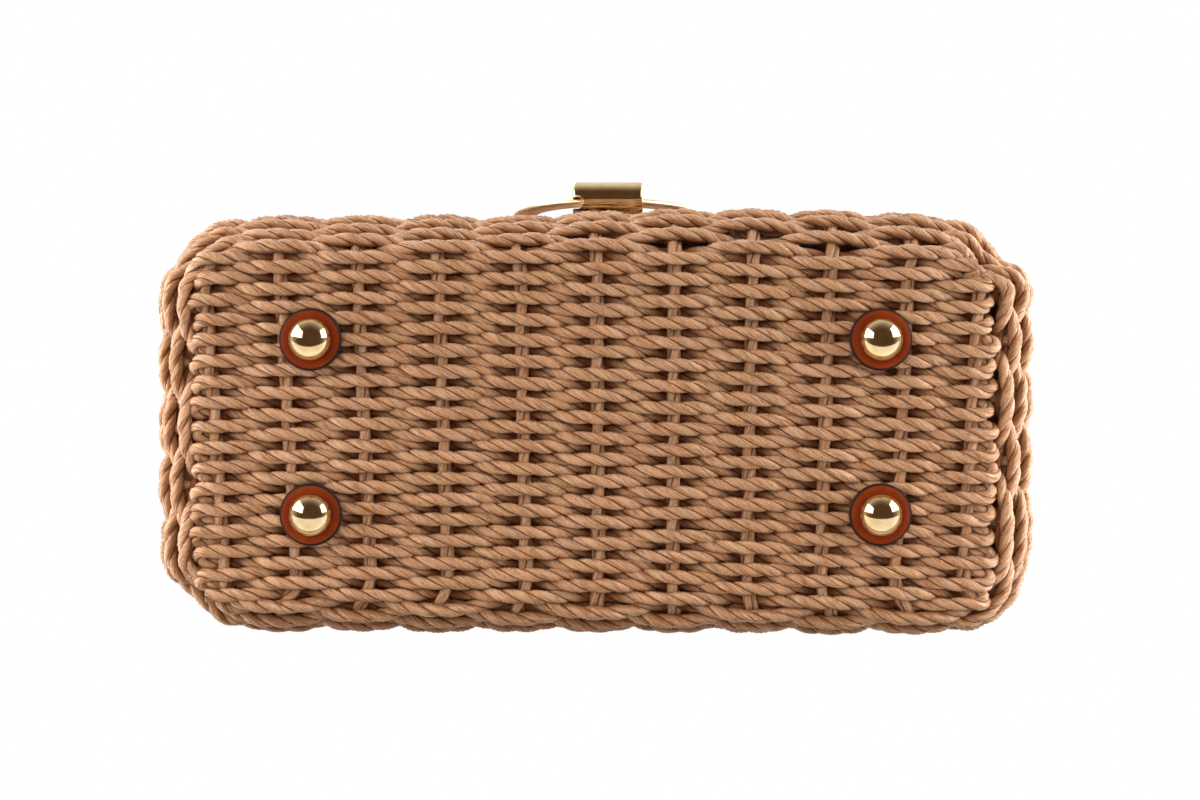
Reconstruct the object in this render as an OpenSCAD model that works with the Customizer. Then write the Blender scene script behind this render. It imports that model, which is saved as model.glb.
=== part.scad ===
// Basket box bag of twisted paper cord, standing on four dome feet.
// Millimetres. Z is up, the front with the clasp faces -Y, and the feet stand on Z = 0.

/* [Basket] */
// width of the basket over its side walls at the rim
bag_w = 234; // [210:1:270]
// depth of the basket over its front and back walls at the rim
bag_d = 110; // [100:1:130]
// outer radius of the upright corners
corner_r = 18; // [15:1:24]
// height of the basket from its underside to its rim
body_h = 115; // [100:1:140]
// thickness of the woven walls, base and lid top
wall_t = 6.5; // [6:0.25:8]
// how far the walls bow outwards at mid height
bow = 6; // [2:0.5:6]

/* [Lid] */
// height of the lid from its lower edge to its top
lid_h = 38; // [32:1:50]
// gap between the rim of the basket and the lid
lid_gap = 0.3; // [0.2:0.1:0.6]
// number of waled rows at the lower edge of the lid
lid_rows_low = 2; // [2:1:3]

/* [Weave] */
// pitch of the weaver rows
row_pitch = 2.9; // [2.6:0.05:3.4]
// rise and dip of a weaver over the stakes
weave_rise = 1.6; // [1:0.1:1.8]
// number of stakes around the walls
stakes = 30; // [30:6:36]
// pitch of the stakes across the base and the lid
stake_pitch = 21.4; // [20:0.2:24]
// pitch of the waled rows at the rim and on the lid
wale_pitch = 4.2; // [3.6:0.1:4.6]
// number of waled rows at the rim and at the top of the lid
wale_rows = 3; // [2:1:3]
// how far the foot of the wall flares out
foot_out = 3; // [1.5:0.1:4]
// height over which the foot flares out
flare_h = 30; // [20:1:40]
// how far the waled rims stand out from the wall
rim_out = 1.2; // [0.6:0.1:1.8]
// length of a gap beside a stake
gap_len = 4.2; // [3:0.1:5]
// height of a gap beside a stake
gap_h = 1.5; // [1.2:0.1:1.8]

/* [Feet] */
// distance of the feet from the ends of the basket
foot_end = 39; // [27:1:57]
// distance of the feet from the front and the back
foot_side = 31; // [26:1:37]
// radius of a dome foot
dome_r = 5.75; // [5:0.25:7]
// height of a dome foot
dome_h = 5.2; // [4.5:0.1:5.6]
// radius of a leather washer under a foot
washer_r = 8.6; // [8:0.1:10]
// thickness of the leather washers
leather_t = 1.8; // [1.4:0.1:2.4]
// radius of the shank of a foot
shank_r = 1.6; // [1.2:0.1:2]

/* [Clasp] */
// sideways place of the clasp
clasp_x = 3.5; // [-6:0.5:6]
// width of the leather tab
tab_w = 25; // [22:0.5:25.5]
// thickness of the leather tab
tab_t = 1.5; // [1.2:0.1:1.8]
// outer radius of the pull ring
ring_ro = 29; // [27:0.5:30]
// inner radius of the pull ring
ring_ri = 22; // [20.5:0.1:22]
// thickness of the pull ring
ring_t = 2.2; // [1.8:0.1:2.6]
// radius of the round bar across the top of the ring
bar_r = 1.3; // [1.2:0.05:1.5]
// length of the barrel on the foot of the ring
barrel_len = 20.8; // [14:0.1:22]
// radius of the rounded underside of the barrel
barrel_r = 5; // [4:0.05:5]
// radius of the magnetic snap
snap_r = 4.5; // [4:0.1:5]
// thickness of each half of the snap
snap_t = 0.8; // [0.6:0.1:1.2]

/* [Hinges] */
// distance of each hinge from the ends of the basket
hinge_end = 51; // [37:1:67]
// width of a hinge
hinge_w = 24; // [20:1:30]
// height of a hinge leaf from the pin
leaf_h = 15; // [14:0.5:18]
// thickness of a hinge leaf
leaf_t = 1.2; // [1:0.1:1.5]
// radius of a hinge knuckle
knuckle_r = 2.4; // [2.2:0.1:3]
// radius of a hinge pin
pin_r = 1.2; // [1:0.05:1.4]

/* [Handle] */
// half the distance between the ends of the handle
handle_r = 52; // [40:1:64]
// radius of the grip
grip_r = 5; // [4:0.25:6]
// straight length of the grip above each cup
grip_leg = 8; // [4:1:20]
// radius of the leather washers under the handle
pad_r = 10; // [9:0.5:12]

/* [Hidden] */
$fn = 48;
// running clearance of pins and bars
run = 0.05;
// clearance of shanks in their holes
fit = 0.15;
// gap between faces that move past each other
slip = 0.3;
// heights of the underside, rim, lid edge and lid top
z_base = dome_h + leather_t;
z_rim = z_base + body_h;
z_lid = z_rim + lid_gap;
z_top = z_lid + lid_h;
// lowest edge of the wall, one millimetre above the underside
z_wall = z_base + 1;
// inner outline that the base and the lid top fill
mat_w = bag_w - 2 * wall_t - 0.4;
mat_d = bag_d - 2 * wall_t - 0.4;
mat_r = corner_r - wall_t + 2;
// rivets
rivet_r = 2.2;
rivet_h = 1;
rivet_shank = 0.9;
clench_h = 0.8;
washer_t = 1;
// half length and half depth of the wall outline, places of feet and hinges, and the perimeter
half_w = bag_w / 2;
half_d = bag_d / 2;
foot_x = half_w - foot_end;
foot_y = half_d - foot_side;
hinge_x = half_w - hinge_end;
run_x = bag_w - 2 * corner_r;
run_y = bag_d - 2 * corner_r;
arc = PI * corner_r / 2;
perimeter = 2 * run_x + 2 * run_y + 4 * arc;
bay = perimeter / stakes;
// face of the rim, and of the tab over the lid and over its rim
rim_face = half_d + rim_out;
tab_lid = half_d + 0.1;
tab_rim = rim_face + 0.1;
// heights along the clasp tab
z_snap = z_rim - 1.5 * wale_pitch;
tab_top = z_lid + lid_rows_low * wale_pitch + 15;
// seat of the snap on the rim, and face of the tab over the snap
snap_seat = rim_face + bow_at(z_snap - snap_r) + 0.05;
tab_snap = snap_seat + 2 * snap_t + slip;
// leather loop around the bar of the ring, clear of the snap as the lid lifts
loop_ri = bar_r + run;
loop_ro = loop_ri + tab_t;
loop_y = snap_seat + snap_t + slip + loop_ro;
loop_z = z_snap - snap_r - loop_ro - 0.4;
// angle at which the band ends beside the tab, and the bar between its ends
ring_mid = (ring_ri + ring_ro) / 2;
ring_end = acos((tab_w / 2 + 0.6) / ring_ri);
bar_up = ring_mid * sin(ring_end);
bar_half = ring_mid * cos(ring_end);
// the barrel is taller than it is deep, to take the curve of the ring
barrel_up = 2 * (barrel_r - 2.4);
barrel_z = -ring_mid + 1.2;
// the ring leans out until its barrel is a slip away from the wall
barrel_arm = bar_up - barrel_z;
lean_z = loop_z - barrel_arm;
lean = asin((half_d + bow_at(lean_z) + slip + barrel_r - loop_y) / barrel_arm);
// pin of the hinges
hinge_y = rim_face + bow_at(z_rim - 2.5 * wale_pitch) + slip;
pin_y = hinge_y + knuckle_r;
pin_z = z_rim + lid_gap / 2;
knuckle = hinge_w / 3;
// cups of the handle
z_cup = z_top + leather_t;
cup_r = grip_r + 1.5;
cup_h = 9;
cup_floor = 2.4;

// Outward bow of the basket wall at a height.
function bow_at(z) = bow * pow(sin(180 * (z - z_wall) / (z_rim - z_wall)), 2);

// Outward flare of the foot of the basket wall at a height.
function flare_at(z) = foot_out * pow(max(0, 1 - (z - z_wall) / flare_h), 2);

// Point and outward normal of a rounded corner, t from 0 to 1.
function corner(cx, cy, from, t) =
    let (a = from + 90 * t)
    [cx + corner_r * cos(a), cy + corner_r * sin(a), cos(a), sin(a)];

// Point and outward normal of the wall outline at distance s from the middle of the front.
function outline(s) =
    let (
        q = (s + perimeter + run_x / 2) % perimeter,
        a = q - run_x,
        b = a - arc,
        c = b - run_y,
        d = c - arc,
        e = d - run_x,
        f = e - arc,
        g = f - run_y,
        ix = half_w - corner_r,
        iy = half_d - corner_r
    )
    a <= 0 ? [q - run_x / 2, -half_d, 0, -1] :
    b <= 0 ? corner(ix, -iy, -90, a / arc) :
    c <= 0 ? [half_w, b - run_y / 2, 1, 0] :
    d <= 0 ? corner(ix, iy, 0, c / arc) :
    e <= 0 ? [run_x / 2 - d, half_d, 0, 1] :
    f <= 0 ? corner(-ix, iy, 90, e / arc) :
    g <= 0 ? [-half_w, run_y / 2 - f, -1, 0] :
    corner(-ix, -iy, 180, g / arc);

// A bay turns a corner when its two ends face different ways.
function turns(j) =
    let (p = outline(j * bay), q = outline((j + 1) * bay))
    abs(p[2] - q[2]) + abs(p[3] - q[3]) > 0.01;

// Columns of the wall: [distance, stake number, weight of the wave].
columns = [
    for (j = [0:stakes - 1])
        each turns(j) ? [[j * bay, j, 1], [(j + 0.5) * bay, j, 0]] : [[j * bay, j, 1]]
];

// Wave of a row at a stake: plain weave, or over two and under one on waled rows.
function wave(i, j, waled) =
    waled ? ((i + j) % 3 == 0 ? -1 : 1) : ((i + j) % 2 == 0 ? 1 : -1);

// Number and pitch of the plain rows below or between the waled ones.
function plain_rows(z0, z1, low, high) =
    round((z1 - z0 - (low + high) * wale_pitch) / row_pitch);
function plain_pitch(z0, z1, low, high) =
    (z1 - z0 - (low + high) * wale_pitch) / plain_rows(z0, z1, low, high);

// Rows of a wall from its lower edge up: [height, stand-out, waled].
// With no waled rows below, the plain rows take the flare of the foot.
function wall_rows(z0, z1, low, high, out_low, out_high) =
    let (n = plain_rows(z0, z1, low, high), p = plain_pitch(z0, z1, low, high))
    concat(
        [[z0, out_low / 2 - weave_rise, undef]],
        [for (i = [0:1:low - 1]) [z0 + (i + 0.5) * wale_pitch, out_low, true]],
        [
            for (i = [0:n - 1])
                let (z = z0 + low * wale_pitch + (i + 0.5) * p)
                [z, low > 0 ? 0 : flare_at(z), false]
        ],
        [for (i = [0:high - 1]) [z1 - (high - i - 0.5) * wale_pitch, out_high, true]],
        [[z1, out_high / 2 - weave_rise, undef]]
    );

// Distance of the woven face from the outline, at row i and a column.
function face_out(rows, i, col) =
    rows[i][2] == undef ? rows[i][1] :
    rows[i][1] - weave_rise + weave_rise * col[2] * wave(i, col[1], rows[i][2]);

// Two triangles of one cell, split along its lower diagonal so that each over-strand is a lozenge.
function cell(p00, p01, p10, p11, flip) =
    flip ? [[p00, p10, p11], [p00, p11, p01]] : [[p00, p10, p01], [p10, p11, p01]];

// Closed woven wall round the outline, with a smooth inner face.
module woven_wall(rows, bowed) {
    n = len(columns);
    m = len(rows);
    k = bowed ? 6 : 1;
    z0 = rows[0][0];
    z1 = rows[m - 1][0];
    outer = [
        for (i = [0:m - 1], col = columns)
            let (
                p = outline(col[0]),
                o = face_out(rows, i, col) + (bowed ? bow_at(rows[i][0]) : 0)
            )
            [p[0] + p[2] * o, p[1] + p[3] * o, rows[i][0]]
    ];
    inner = [
        for (i = [0:k], col = columns)
            let (
                z = z0 + (z1 - z0) * i / k,
                p = outline(col[0]),
                o = (bowed ? bow_at(z) : 0) - wall_t
            )
            [p[0] + p[2] * o, p[1] + p[3] * o, z]
    ];
    base = m * n;
    top = (m - 1) * n;
    faces = concat(
        [
            for (i = [0:m - 2], c = [0:n - 1])
                let (
                    d = (c + 1) % n,
                    even = face_out(rows, i, columns[c]) + face_out(rows, i + 1, columns[d]),
                    odd = face_out(rows, i, columns[d]) + face_out(rows, i + 1, columns[c])
                )
                each cell(i * n + c, i * n + d, (i + 1) * n + c, (i + 1) * n + d, even < odd)
        ],
        [
            for (i = [0:k - 1], c = [0:n - 1])
                let (d = (c + 1) % n, a = base + i * n, b = base + (i + 1) * n)
                each [[a + c, a + d, b + c], [b + c, a + d, b + d]]
        ],
        [
            for (c = [0:n - 1])
                let (d = (c + 1) % n)
                each [[c, d, base + c], [base + c, d, base + d]]
        ],
        [
            for (c = [0:n - 1])
                let (d = (c + 1) % n, t = base + k * n)
                each [[top + c, t + c, top + d], [t + c, t + d, top + d]]
        ]
    );
    polyhedron(points = concat(outer, inner), faces = faces, convexity = 10);
}

// Pointed gap through a wall, at distance s and height z.
module wall_gap(s, z) {
    p = outline(s);
    translate([p[0], p[1], z])
        rotate([0, 0, atan2(p[3], p[2])])
            hull()
                for (side = [-1, 1])
                    translate([-wall_t - 2, side * (gap_len - gap_h) / 2, 0])
                        rotate([0, 90, 0])
                            cylinder(d = gap_h, h = wall_t + bow + 8, $fn = 4);
}

// Gaps beside the stakes of a wall, every few rows and staggered from stake to stake.
module wall_gaps(rows, first, step, last) {
    for (j = [0:stakes - 1])
        for (i = [first + (j % 2) * floor(step / 2):step:last])
            wall_gap(j * bay + gap_len / 2 + 1.2, (rows[i][0] + rows[i + 1][0]) / 2);
}

// Rows and stakes of a flat mat.
mat_rows = round(mat_d / row_pitch);
mat_row = mat_d / mat_rows;
mat_side = floor((mat_w / 2 - 2) / stake_pitch);
mat_x = concat(
    [-mat_w / 2],
    [for (k = [-mat_side:mat_side]) k * stake_pitch],
    [mat_w / 2]
);
mat_y = concat(
    [-mat_d / 2],
    [for (i = [0:mat_rows - 1]) -mat_d / 2 + (i + 0.5) * mat_row],
    [mat_d / 2]
);

// Height of the woven face of a mat at row i and stake k.
function mat_z(i, k) =
    (i == 0 || k == 0 || i == len(mat_y) - 1 || k == len(mat_x) - 1) ? -weave_rise :
    -weave_rise + weave_rise * wave(i, k, false);

// Woven mat with its crests at Z = 0 and a smooth face below.
module woven_mat() {
    nx = len(mat_x);
    ny = len(mat_y);
    last = nx * ny;
    points = concat(
        [for (i = [0:ny - 1], k = [0:nx - 1]) [mat_x[k], mat_y[i], mat_z(i, k)]],
        [for (y = [-mat_d / 2, mat_d / 2], x = [-mat_w / 2, mat_w / 2]) [x, y, -wall_t]]
    );
    faces = concat(
        [
            for (i = [0:ny - 2], k = [0:nx - 2])
                let (
                    a = i * nx + k,
                    b = a + nx,
                    even = mat_z(i, k) + mat_z(i + 1, k + 1),
                    odd = mat_z(i, k + 1) + mat_z(i + 1, k)
                )
                each cell(a, a + 1, b, b + 1, even < odd)
        ],
        [
            [last, last + 1, last + 3, last + 2],
            concat([for (k = [0:nx - 1]) k], [last + 1, last]),
            concat([for (k = [nx - 1:-1:0]) (ny - 1) * nx + k], [last + 2, last + 3]),
            concat([for (i = [ny - 1:-1:0]) i * nx], [last, last + 2]),
            concat([for (i = [0:ny - 1]) i * nx + nx - 1], [last + 3, last + 1])
        ]
    );
    polyhedron(points = points, faces = faces, convexity = 10);
}

// Rounded outline of a mat.
module mat_outline() {
    translate([-mat_w / 2 + mat_r, -mat_d / 2 + mat_r])
        offset(r = mat_r)
            square([mat_w - 2 * mat_r, mat_d - 2 * mat_r]);
}

// Gaps beside the stakes of a mat.
module mat_gaps(step) {
    for (k = [1:len(mat_x) - 2])
        for (i = [3 + (k % 2) * floor(step / 2):step:len(mat_y) - 5])
            translate([mat_x[k] + gap_len / 2 + 1.2, (mat_y[i] + mat_y[i + 1]) / 2, -wall_t - 1])
                hull()
                    for (side = [-1, 1])
                        translate([side * (gap_len - gap_h) / 2, 0, 0])
                            cylinder(d = gap_h, h = wall_t + 2, $fn = 4);
}

// Mat cut to its outline, with gaps and any further holes.
module mat(step) {
    difference() {
        intersection() {
            woven_mat();
            translate([0, 0, -wall_t - 1])
                linear_extrude(wall_t + 2)
                    mat_outline();
        }
        mat_gaps(step);
        children();
    }
}

body_rows = wall_rows(z_wall, z_rim, 0, wale_rows, foot_out, rim_out);
lid_rows = wall_rows(z_lid, z_top, lid_rows_low, wale_rows, rim_out, rim_out);

// Hole along Y through the front (-1) or back (1) wall.
module wall_hole(x, z, side, r) {
    translate([x, side * (half_d - wall_t - 2), z])
        rotate([side * -90, 0, 0])
            cylinder(r = r, h = wall_t + rim_out + bow + 6, $fn = 8);
}

// Heights and places of the rivets of hinge and tab.
leaf_rivet = leaf_h - 3.4;
rivet_side = hinge_w / 2 - 4;
tab_rivet_z = tab_top - 4.5;
tab_rivet_x = tab_w / 2 - 5;

module basket_base() {
    color("tan")
        translate([0, 0, z_base])
            mirror([0, 0, 1])
                mat(10)
                    for (x = [-foot_x, foot_x], y = [-foot_y, foot_y])
                        translate([x, y, -wall_t - 1])
                            cylinder(r = shank_r + fit, h = wall_t + 2, $fn = 12);
}

module basket_wall() {
    color("tan")
        difference() {
            woven_wall(body_rows, true);
            wall_gaps(body_rows, 9, 15, len(body_rows) - wale_rows - 7);
            for (h = [-hinge_x, hinge_x], r = [-rivet_side, rivet_side])
                wall_hole(h + r, pin_z - leaf_rivet, 1, rivet_shank + fit);
            wall_hole(clasp_x, z_snap, -1, rivet_shank + fit);
        }
}

module lid_wall() {
    color("tan")
        difference() {
            woven_wall(lid_rows, false);
            wall_gaps(lid_rows, lid_rows_low + 2, 6, len(lid_rows) - wale_rows - 4);
            for (h = [-hinge_x, hinge_x], r = [-rivet_side, rivet_side])
                wall_hole(h + r, pin_z + leaf_rivet, 1, rivet_shank + fit);
            for (r = [-tab_rivet_x, tab_rivet_x])
                wall_hole(clasp_x + r, tab_rivet_z, -1, rivet_shank + fit);
        }
}

module lid_top() {
    color("tan")
        translate([0, 0, z_top])
            mat(16)
                for (x = [-handle_r, handle_r])
                    translate([x, 0, -wall_t - 1])
                        cylinder(r = shank_r + fit, h = wall_t + 2, $fn = 12);
}

// Dome foot with its shank and clenched end.
module foot(x, y) {
    ball = (pow(dome_r, 2) + pow(dome_h, 2)) / (2 * dome_h);
    end = z_base + wall_t + washer_t;
    color("gold")
        translate([x, y, 0])
            rotate_extrude() {
                intersection() {
                    translate([0, ball])
                        circle(r = ball, $fn = 96);
                    square([dome_r + 1, dome_h]);
                }
                translate([0, dome_h - 1])
                    square([shank_r, end + 1 - dome_h]);
                translate([0, end])
                    square([shank_r + 0.9, clench_h]);
            }
}

// Flat washer with chamfered edges, from z upwards.
module washer(x, y, z, r, hole, t, edge) {
    translate([x, y, z])
        rotate_extrude()
            polygon([
                [hole, 0], [r - edge, 0], [r, edge],
                [r, t - edge], [r - edge, t], [hole, t]
            ]);
}

module foot_washer(x, y) {
    color("sienna")
        washer(x, y, dome_h, washer_r, shank_r + fit, leather_t, 0.4);
}

module foot_front_left() {
    foot(-foot_x, -foot_y);
}

module foot_front_right() {
    foot(foot_x, -foot_y);
}

module foot_back_left() {
    foot(-foot_x, foot_y);
}

module foot_back_right() {
    foot(foot_x, foot_y);
}

module foot_washer_front_left() {
    foot_washer(-foot_x, -foot_y);
}

module foot_washer_front_right() {
    foot_washer(foot_x, -foot_y);
}

module foot_washer_back_left() {
    foot_washer(-foot_x, foot_y);
}

module foot_washer_back_right() {
    foot_washer(foot_x, foot_y);
}

module foot_backings() {
    color("gold")
        for (x = [-foot_x, foot_x], y = [-foot_y, foot_y])
            washer(x, y, z_base + wall_t, shank_r + 4, shank_r + fit, washer_t, 0.2);
}

// Rivet along Z: domed head above Z = 0, clenched end below the given length.
module rivet(len) {
    ball = (pow(rivet_r, 2) + pow(rivet_h, 2)) / (2 * rivet_h);
    rotate_extrude() {
        intersection() {
            translate([0, rivet_h - ball])
                circle(r = ball, $fn = 96);
            square([rivet_r + 1, rivet_h + 1]);
        }
        translate([0, -len])
            square([rivet_shank, len + 0.2]);
        translate([0, -len - clench_h])
            square([rivet_r - 0.2, clench_h]);
    }
}

// Leather tab: riveted to the lid, over the rim and the snap, and round the bar of the ring.
module clasp_tab() {
    z_edge = z_lid + lid_rows_low * wale_pitch;
    z_step = z_rim - 0.4;
    z_end = loop_z + 0.3;
    color("sienna")
        difference() {
            union() {
                translate([clasp_x - tab_w / 2, 0, 0])
                    rotate([90, 0, 90])
                        linear_extrude(tab_w)
                            polygon([
                                [-tab_lid, tab_top],
                                [-tab_lid, z_edge + 3],
                                [-tab_rim, z_edge + 0.5],
                                [-tab_rim, z_lid + 3],
                                [-tab_snap, z_step],
                                [-tab_snap, z_end],
                                [-tab_snap - tab_t, z_end],
                                [-tab_snap - tab_t, z_step + 0.8],
                                [-tab_rim - tab_t, z_lid + 3.8],
                                [-tab_rim - tab_t, z_edge + 1.2],
                                [-tab_lid - tab_t, z_edge + 3.7],
                                [-tab_lid - tab_t, tab_top]
                            ]);
                translate([clasp_x - tab_w / 2, -loop_y, loop_z])
                    rotate([0, 90, 0])
                        cylinder(r = loop_ro, h = tab_w);
            }
            translate([clasp_x - tab_w, -loop_y, loop_z])
                rotate([0, 90, 0])
                    cylinder(r = loop_ri, h = 2 * tab_w);
            for (r = [-tab_rivet_x, tab_rivet_x])
                translate([clasp_x + r, 0, tab_rivet_z])
                    rotate([90, 0, 0])
                        cylinder(r = rivet_shank + fit, h = bag_d);
        }
}

module tab_rivets() {
    color("gold")
        for (r = [-tab_rivet_x, tab_rivet_x])
            translate([clasp_x + r, -tab_lid - tab_t, tab_rivet_z])
                rotate([90, 0, 0])
                    rivet(tab_lid + tab_t - half_d + wall_t);
}

module snap_cap() {
    color("gold")
        translate([clasp_x, -tab_snap, z_snap])
            rotate([-90, 0, 0])
                cylinder(r = snap_r, h = snap_t);
}

// Snap stud on the rim, with its shank through the wall and a clenched end.
module snap_stud() {
    inside = half_d + bow_at(z_snap) - wall_t - washer_t;
    color("gold")
        translate([clasp_x, 0, z_snap])
            rotate([90, 0, 0]) {
                translate([0, 0, snap_seat])
                    cylinder(r = snap_r, h = snap_t);
                translate([0, 0, inside])
                    cylinder(r = rivet_shank, h = snap_seat - inside + 0.2);
                translate([0, 0, inside - clench_h])
                    cylinder(r = rivet_r - 0.2, h = clench_h);
            }
}

module snap_backing() {
    color("gold")
        translate([clasp_x, 0, z_snap])
            rotate([90, 0, 0])
                translate([0, 0, half_d + bow_at(z_snap) - wall_t - washer_t])
                    difference() {
                        cylinder(r = snap_r, h = washer_t);
                        translate([0, 0, -1])
                            cylinder(r = rivet_shank + fit, h = washer_t + 2);
                    }
}

// Ring in its own plane: flat band with round edges, open at the top where the bar crosses.
module ring_band(grow) {
    h = ring_t / 2;
    rotate([90, 0, 0])
        rotate_extrude(start = 180 - ring_end, angle = 180 + 2 * ring_end, $fn = 96) {
            translate([ring_ri + h, -h - grow])
                square([ring_ro - ring_ri - ring_t, ring_t + 2 * grow]);
            for (r = [ring_ri + h, ring_ro - h])
                translate([r, 0])
                    circle(r = h + grow);
        }
}

// Place of the ring: it hangs by its bar in the loop of the tab and leans out at its foot.
module hang_ring() {
    translate([clasp_x, -loop_y, loop_z])
        rotate([-lean, 0, 0])
            translate([0, 0, -bar_up])
                children();
}

module pull_ring() {
    color("gold")
        hang_ring() {
            ring_band(0);
            translate([-bar_half, 0, bar_up])
                rotate([0, 90, 0])
                    cylinder(r = bar_r, h = 2 * bar_half);
            for (x = [-bar_half, bar_half])
                translate([x, 0, bar_up])
                    sphere(r = bar_r);
        }
}

module ring_barrel() {
    color("gold")
        hang_ring()
            difference() {
                translate([-barrel_len / 2, 0, barrel_z])
                    rotate([90, 0, 90])
                        linear_extrude(barrel_len) {
                            square([2 * barrel_r, barrel_up], center = true);
                            for (z = [-barrel_up, barrel_up] / 2)
                                translate([0, z])
                                    circle(r = barrel_r);
                        }
                ring_band(run);
            }
}

// Hinge leaf below (-1) or above (1) the pin; its knuckles are given by their ends along X.
module hinge_leaf(x, side, spans, bore) {
    color("gold")
        difference() {
            union() {
                translate([x - hinge_w / 2, hinge_y, pin_z + (side > 0 ? knuckle_r + slip : -leaf_h)])
                    cube([hinge_w, leaf_t, leaf_h - knuckle_r - slip]);
                for (s = spans) {
                    translate([x + s[0], hinge_y, pin_z + (side > 0 ? 0 : -knuckle_r - slip)])
                        cube([s[1] - s[0], leaf_t, knuckle_r + slip]);
                    translate([x + s[0], pin_y, pin_z])
                        rotate([0, 90, 0])
                            cylinder(r = knuckle_r, h = s[1] - s[0]);
                }
            }
            translate([x - hinge_w, pin_y, pin_z])
                rotate([0, 90, 0])
                    cylinder(r = bore, h = 2 * hinge_w);
            for (r = [-rivet_side, rivet_side])
                translate([x + r, hinge_y - 1, pin_z + side * leaf_rivet])
                    rotate([-90, 0, 0])
                        cylinder(r = rivet_shank + fit, h = leaf_t + 2);
        }
}

module hinge_lower(x) {
    hinge_leaf(x, -1, [
        [-hinge_w / 2, -knuckle / 2 - 0.1],
        [knuckle / 2 + 0.1, hinge_w / 2]
    ], pin_r + 0.02);
}

module hinge_upper(x) {
    hinge_leaf(x, 1, [[-knuckle / 2 + 0.1, knuckle / 2 - 0.1]], pin_r + run);
}

module hinge_pin(x) {
    color("gold")
        translate([x - hinge_w / 2, pin_y, pin_z])
            rotate([0, 90, 0])
                cylinder(r = pin_r, h = hinge_w);
}

module hinge_lower_left() {
    hinge_lower(-hinge_x);
}

module hinge_lower_right() {
    hinge_lower(hinge_x);
}

module hinge_upper_left() {
    hinge_upper(-hinge_x);
}

module hinge_upper_right() {
    hinge_upper(hinge_x);
}

module hinge_pin_left() {
    hinge_pin(-hinge_x);
}

module hinge_pin_right() {
    hinge_pin(hinge_x);
}

// Rivets of the leaves on one side of the pin.
module leaf_rivets(side, inside) {
    color("gold")
        for (h = [-hinge_x, hinge_x], r = [-rivet_side, rivet_side])
            translate([h + r, hinge_y + leaf_t, pin_z + side * leaf_rivet])
                rotate([-90, 0, 0])
                    rivet(hinge_y + leaf_t - inside);
}

module hinge_rivets_basket() {
    leaf_rivets(-1, half_d - wall_t + bow_at(pin_z - leaf_rivet));
}

module hinge_rivets_lid() {
    leaf_rivets(1, half_d - wall_t);
}

// Arched grip whose straight ends stand in the cups.
module handle_grip() {
    z_seat = z_cup + cup_floor;
    z_arch = z_cup + cup_h + grip_leg;
    color("sienna") {
        translate([0, 0, z_arch])
            rotate([90, 0, 0])
                rotate_extrude(angle = 180, $fn = 96)
                    translate([handle_r, 0])
                        circle(r = grip_r);
        for (x = [-handle_r, handle_r])
            translate([x, 0, z_seat])
                cylinder(r = grip_r, h = z_arch - z_seat);
    }
}

// Cup that holds one end of the grip, with its shank through the lid.
module handle_cup(x) {
    depth = leather_t + wall_t + washer_t;
    color("gold")
        translate([x, 0, z_cup])
            rotate_extrude() {
                square([cup_r + 1.6, 1.4]);
                square([cup_r, cup_floor]);
                translate([grip_r + run, 0])
                    square([cup_r - grip_r - run, cup_h]);
                translate([0, -depth])
                    square([shank_r, depth + 1]);
                translate([0, -depth - clench_h])
                    square([shank_r + 0.9, clench_h]);
            }
}

module handle_cup_left() {
    handle_cup(-handle_r);
}

module handle_cup_right() {
    handle_cup(handle_r);
}

module handle_washer(x) {
    color("sienna")
        washer(x, 0, z_top, pad_r, shank_r + fit, leather_t, 0.4);
}

module handle_washer_left() {
    handle_washer(-handle_r);
}

module handle_washer_right() {
    handle_washer(handle_r);
}

module handle_backings() {
    color("gold")
        for (x = [-handle_r, handle_r])
            washer(x, 0, z_top - wall_t - washer_t, shank_r + 5, shank_r + fit, washer_t, 0.2);
}

basket_base();
basket_wall();
foot_front_left();
foot_front_right();
foot_back_left();
foot_back_right();
foot_washer_front_left();
foot_washer_front_right();
foot_washer_back_left();
foot_washer_back_right();
foot_backings();
lid_wall();
lid_top();
clasp_tab();
tab_rivets();
snap_cap();
snap_stud();
snap_backing();
pull_ring();
ring_barrel();
hinge_lower_left();
hinge_lower_right();
hinge_upper_left();
hinge_upper_right();
hinge_pin_left();
hinge_pin_right();
hinge_rivets_basket();
hinge_rivets_lid();
handle_grip();
handle_cup_left();
handle_cup_right();
handle_washer_left();
handle_washer_right();
handle_backings();
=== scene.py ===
"""Dresses the woven box bag: twisted cord, leather and polished gold fittings.

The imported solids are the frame. Lengths in the classes are millimetres; meshes are metres.
"""

from __future__ import annotations

import logging
import math
from dataclasses import dataclass, field
from enum import Enum
from typing import Callable, Iterable, Sequence

import bmesh
import bpy
import numpy as np
from mathutils import Matrix, Vector

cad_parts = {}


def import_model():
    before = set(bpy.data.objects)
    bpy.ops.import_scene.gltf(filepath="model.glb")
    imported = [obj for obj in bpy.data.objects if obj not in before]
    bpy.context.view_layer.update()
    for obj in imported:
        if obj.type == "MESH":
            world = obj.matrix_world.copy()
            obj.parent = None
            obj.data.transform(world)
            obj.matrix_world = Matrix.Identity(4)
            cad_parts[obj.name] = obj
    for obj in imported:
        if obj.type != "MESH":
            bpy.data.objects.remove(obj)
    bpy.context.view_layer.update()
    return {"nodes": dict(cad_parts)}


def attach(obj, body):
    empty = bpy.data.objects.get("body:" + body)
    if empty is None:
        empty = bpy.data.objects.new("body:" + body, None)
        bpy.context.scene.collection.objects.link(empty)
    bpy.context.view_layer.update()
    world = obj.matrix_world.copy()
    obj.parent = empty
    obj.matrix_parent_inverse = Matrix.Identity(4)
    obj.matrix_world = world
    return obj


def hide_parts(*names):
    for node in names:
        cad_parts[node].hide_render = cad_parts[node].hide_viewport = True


LOG = logging.getLogger("box_bag")
MM = 0.001
Colour = tuple[float, float, float]


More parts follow.
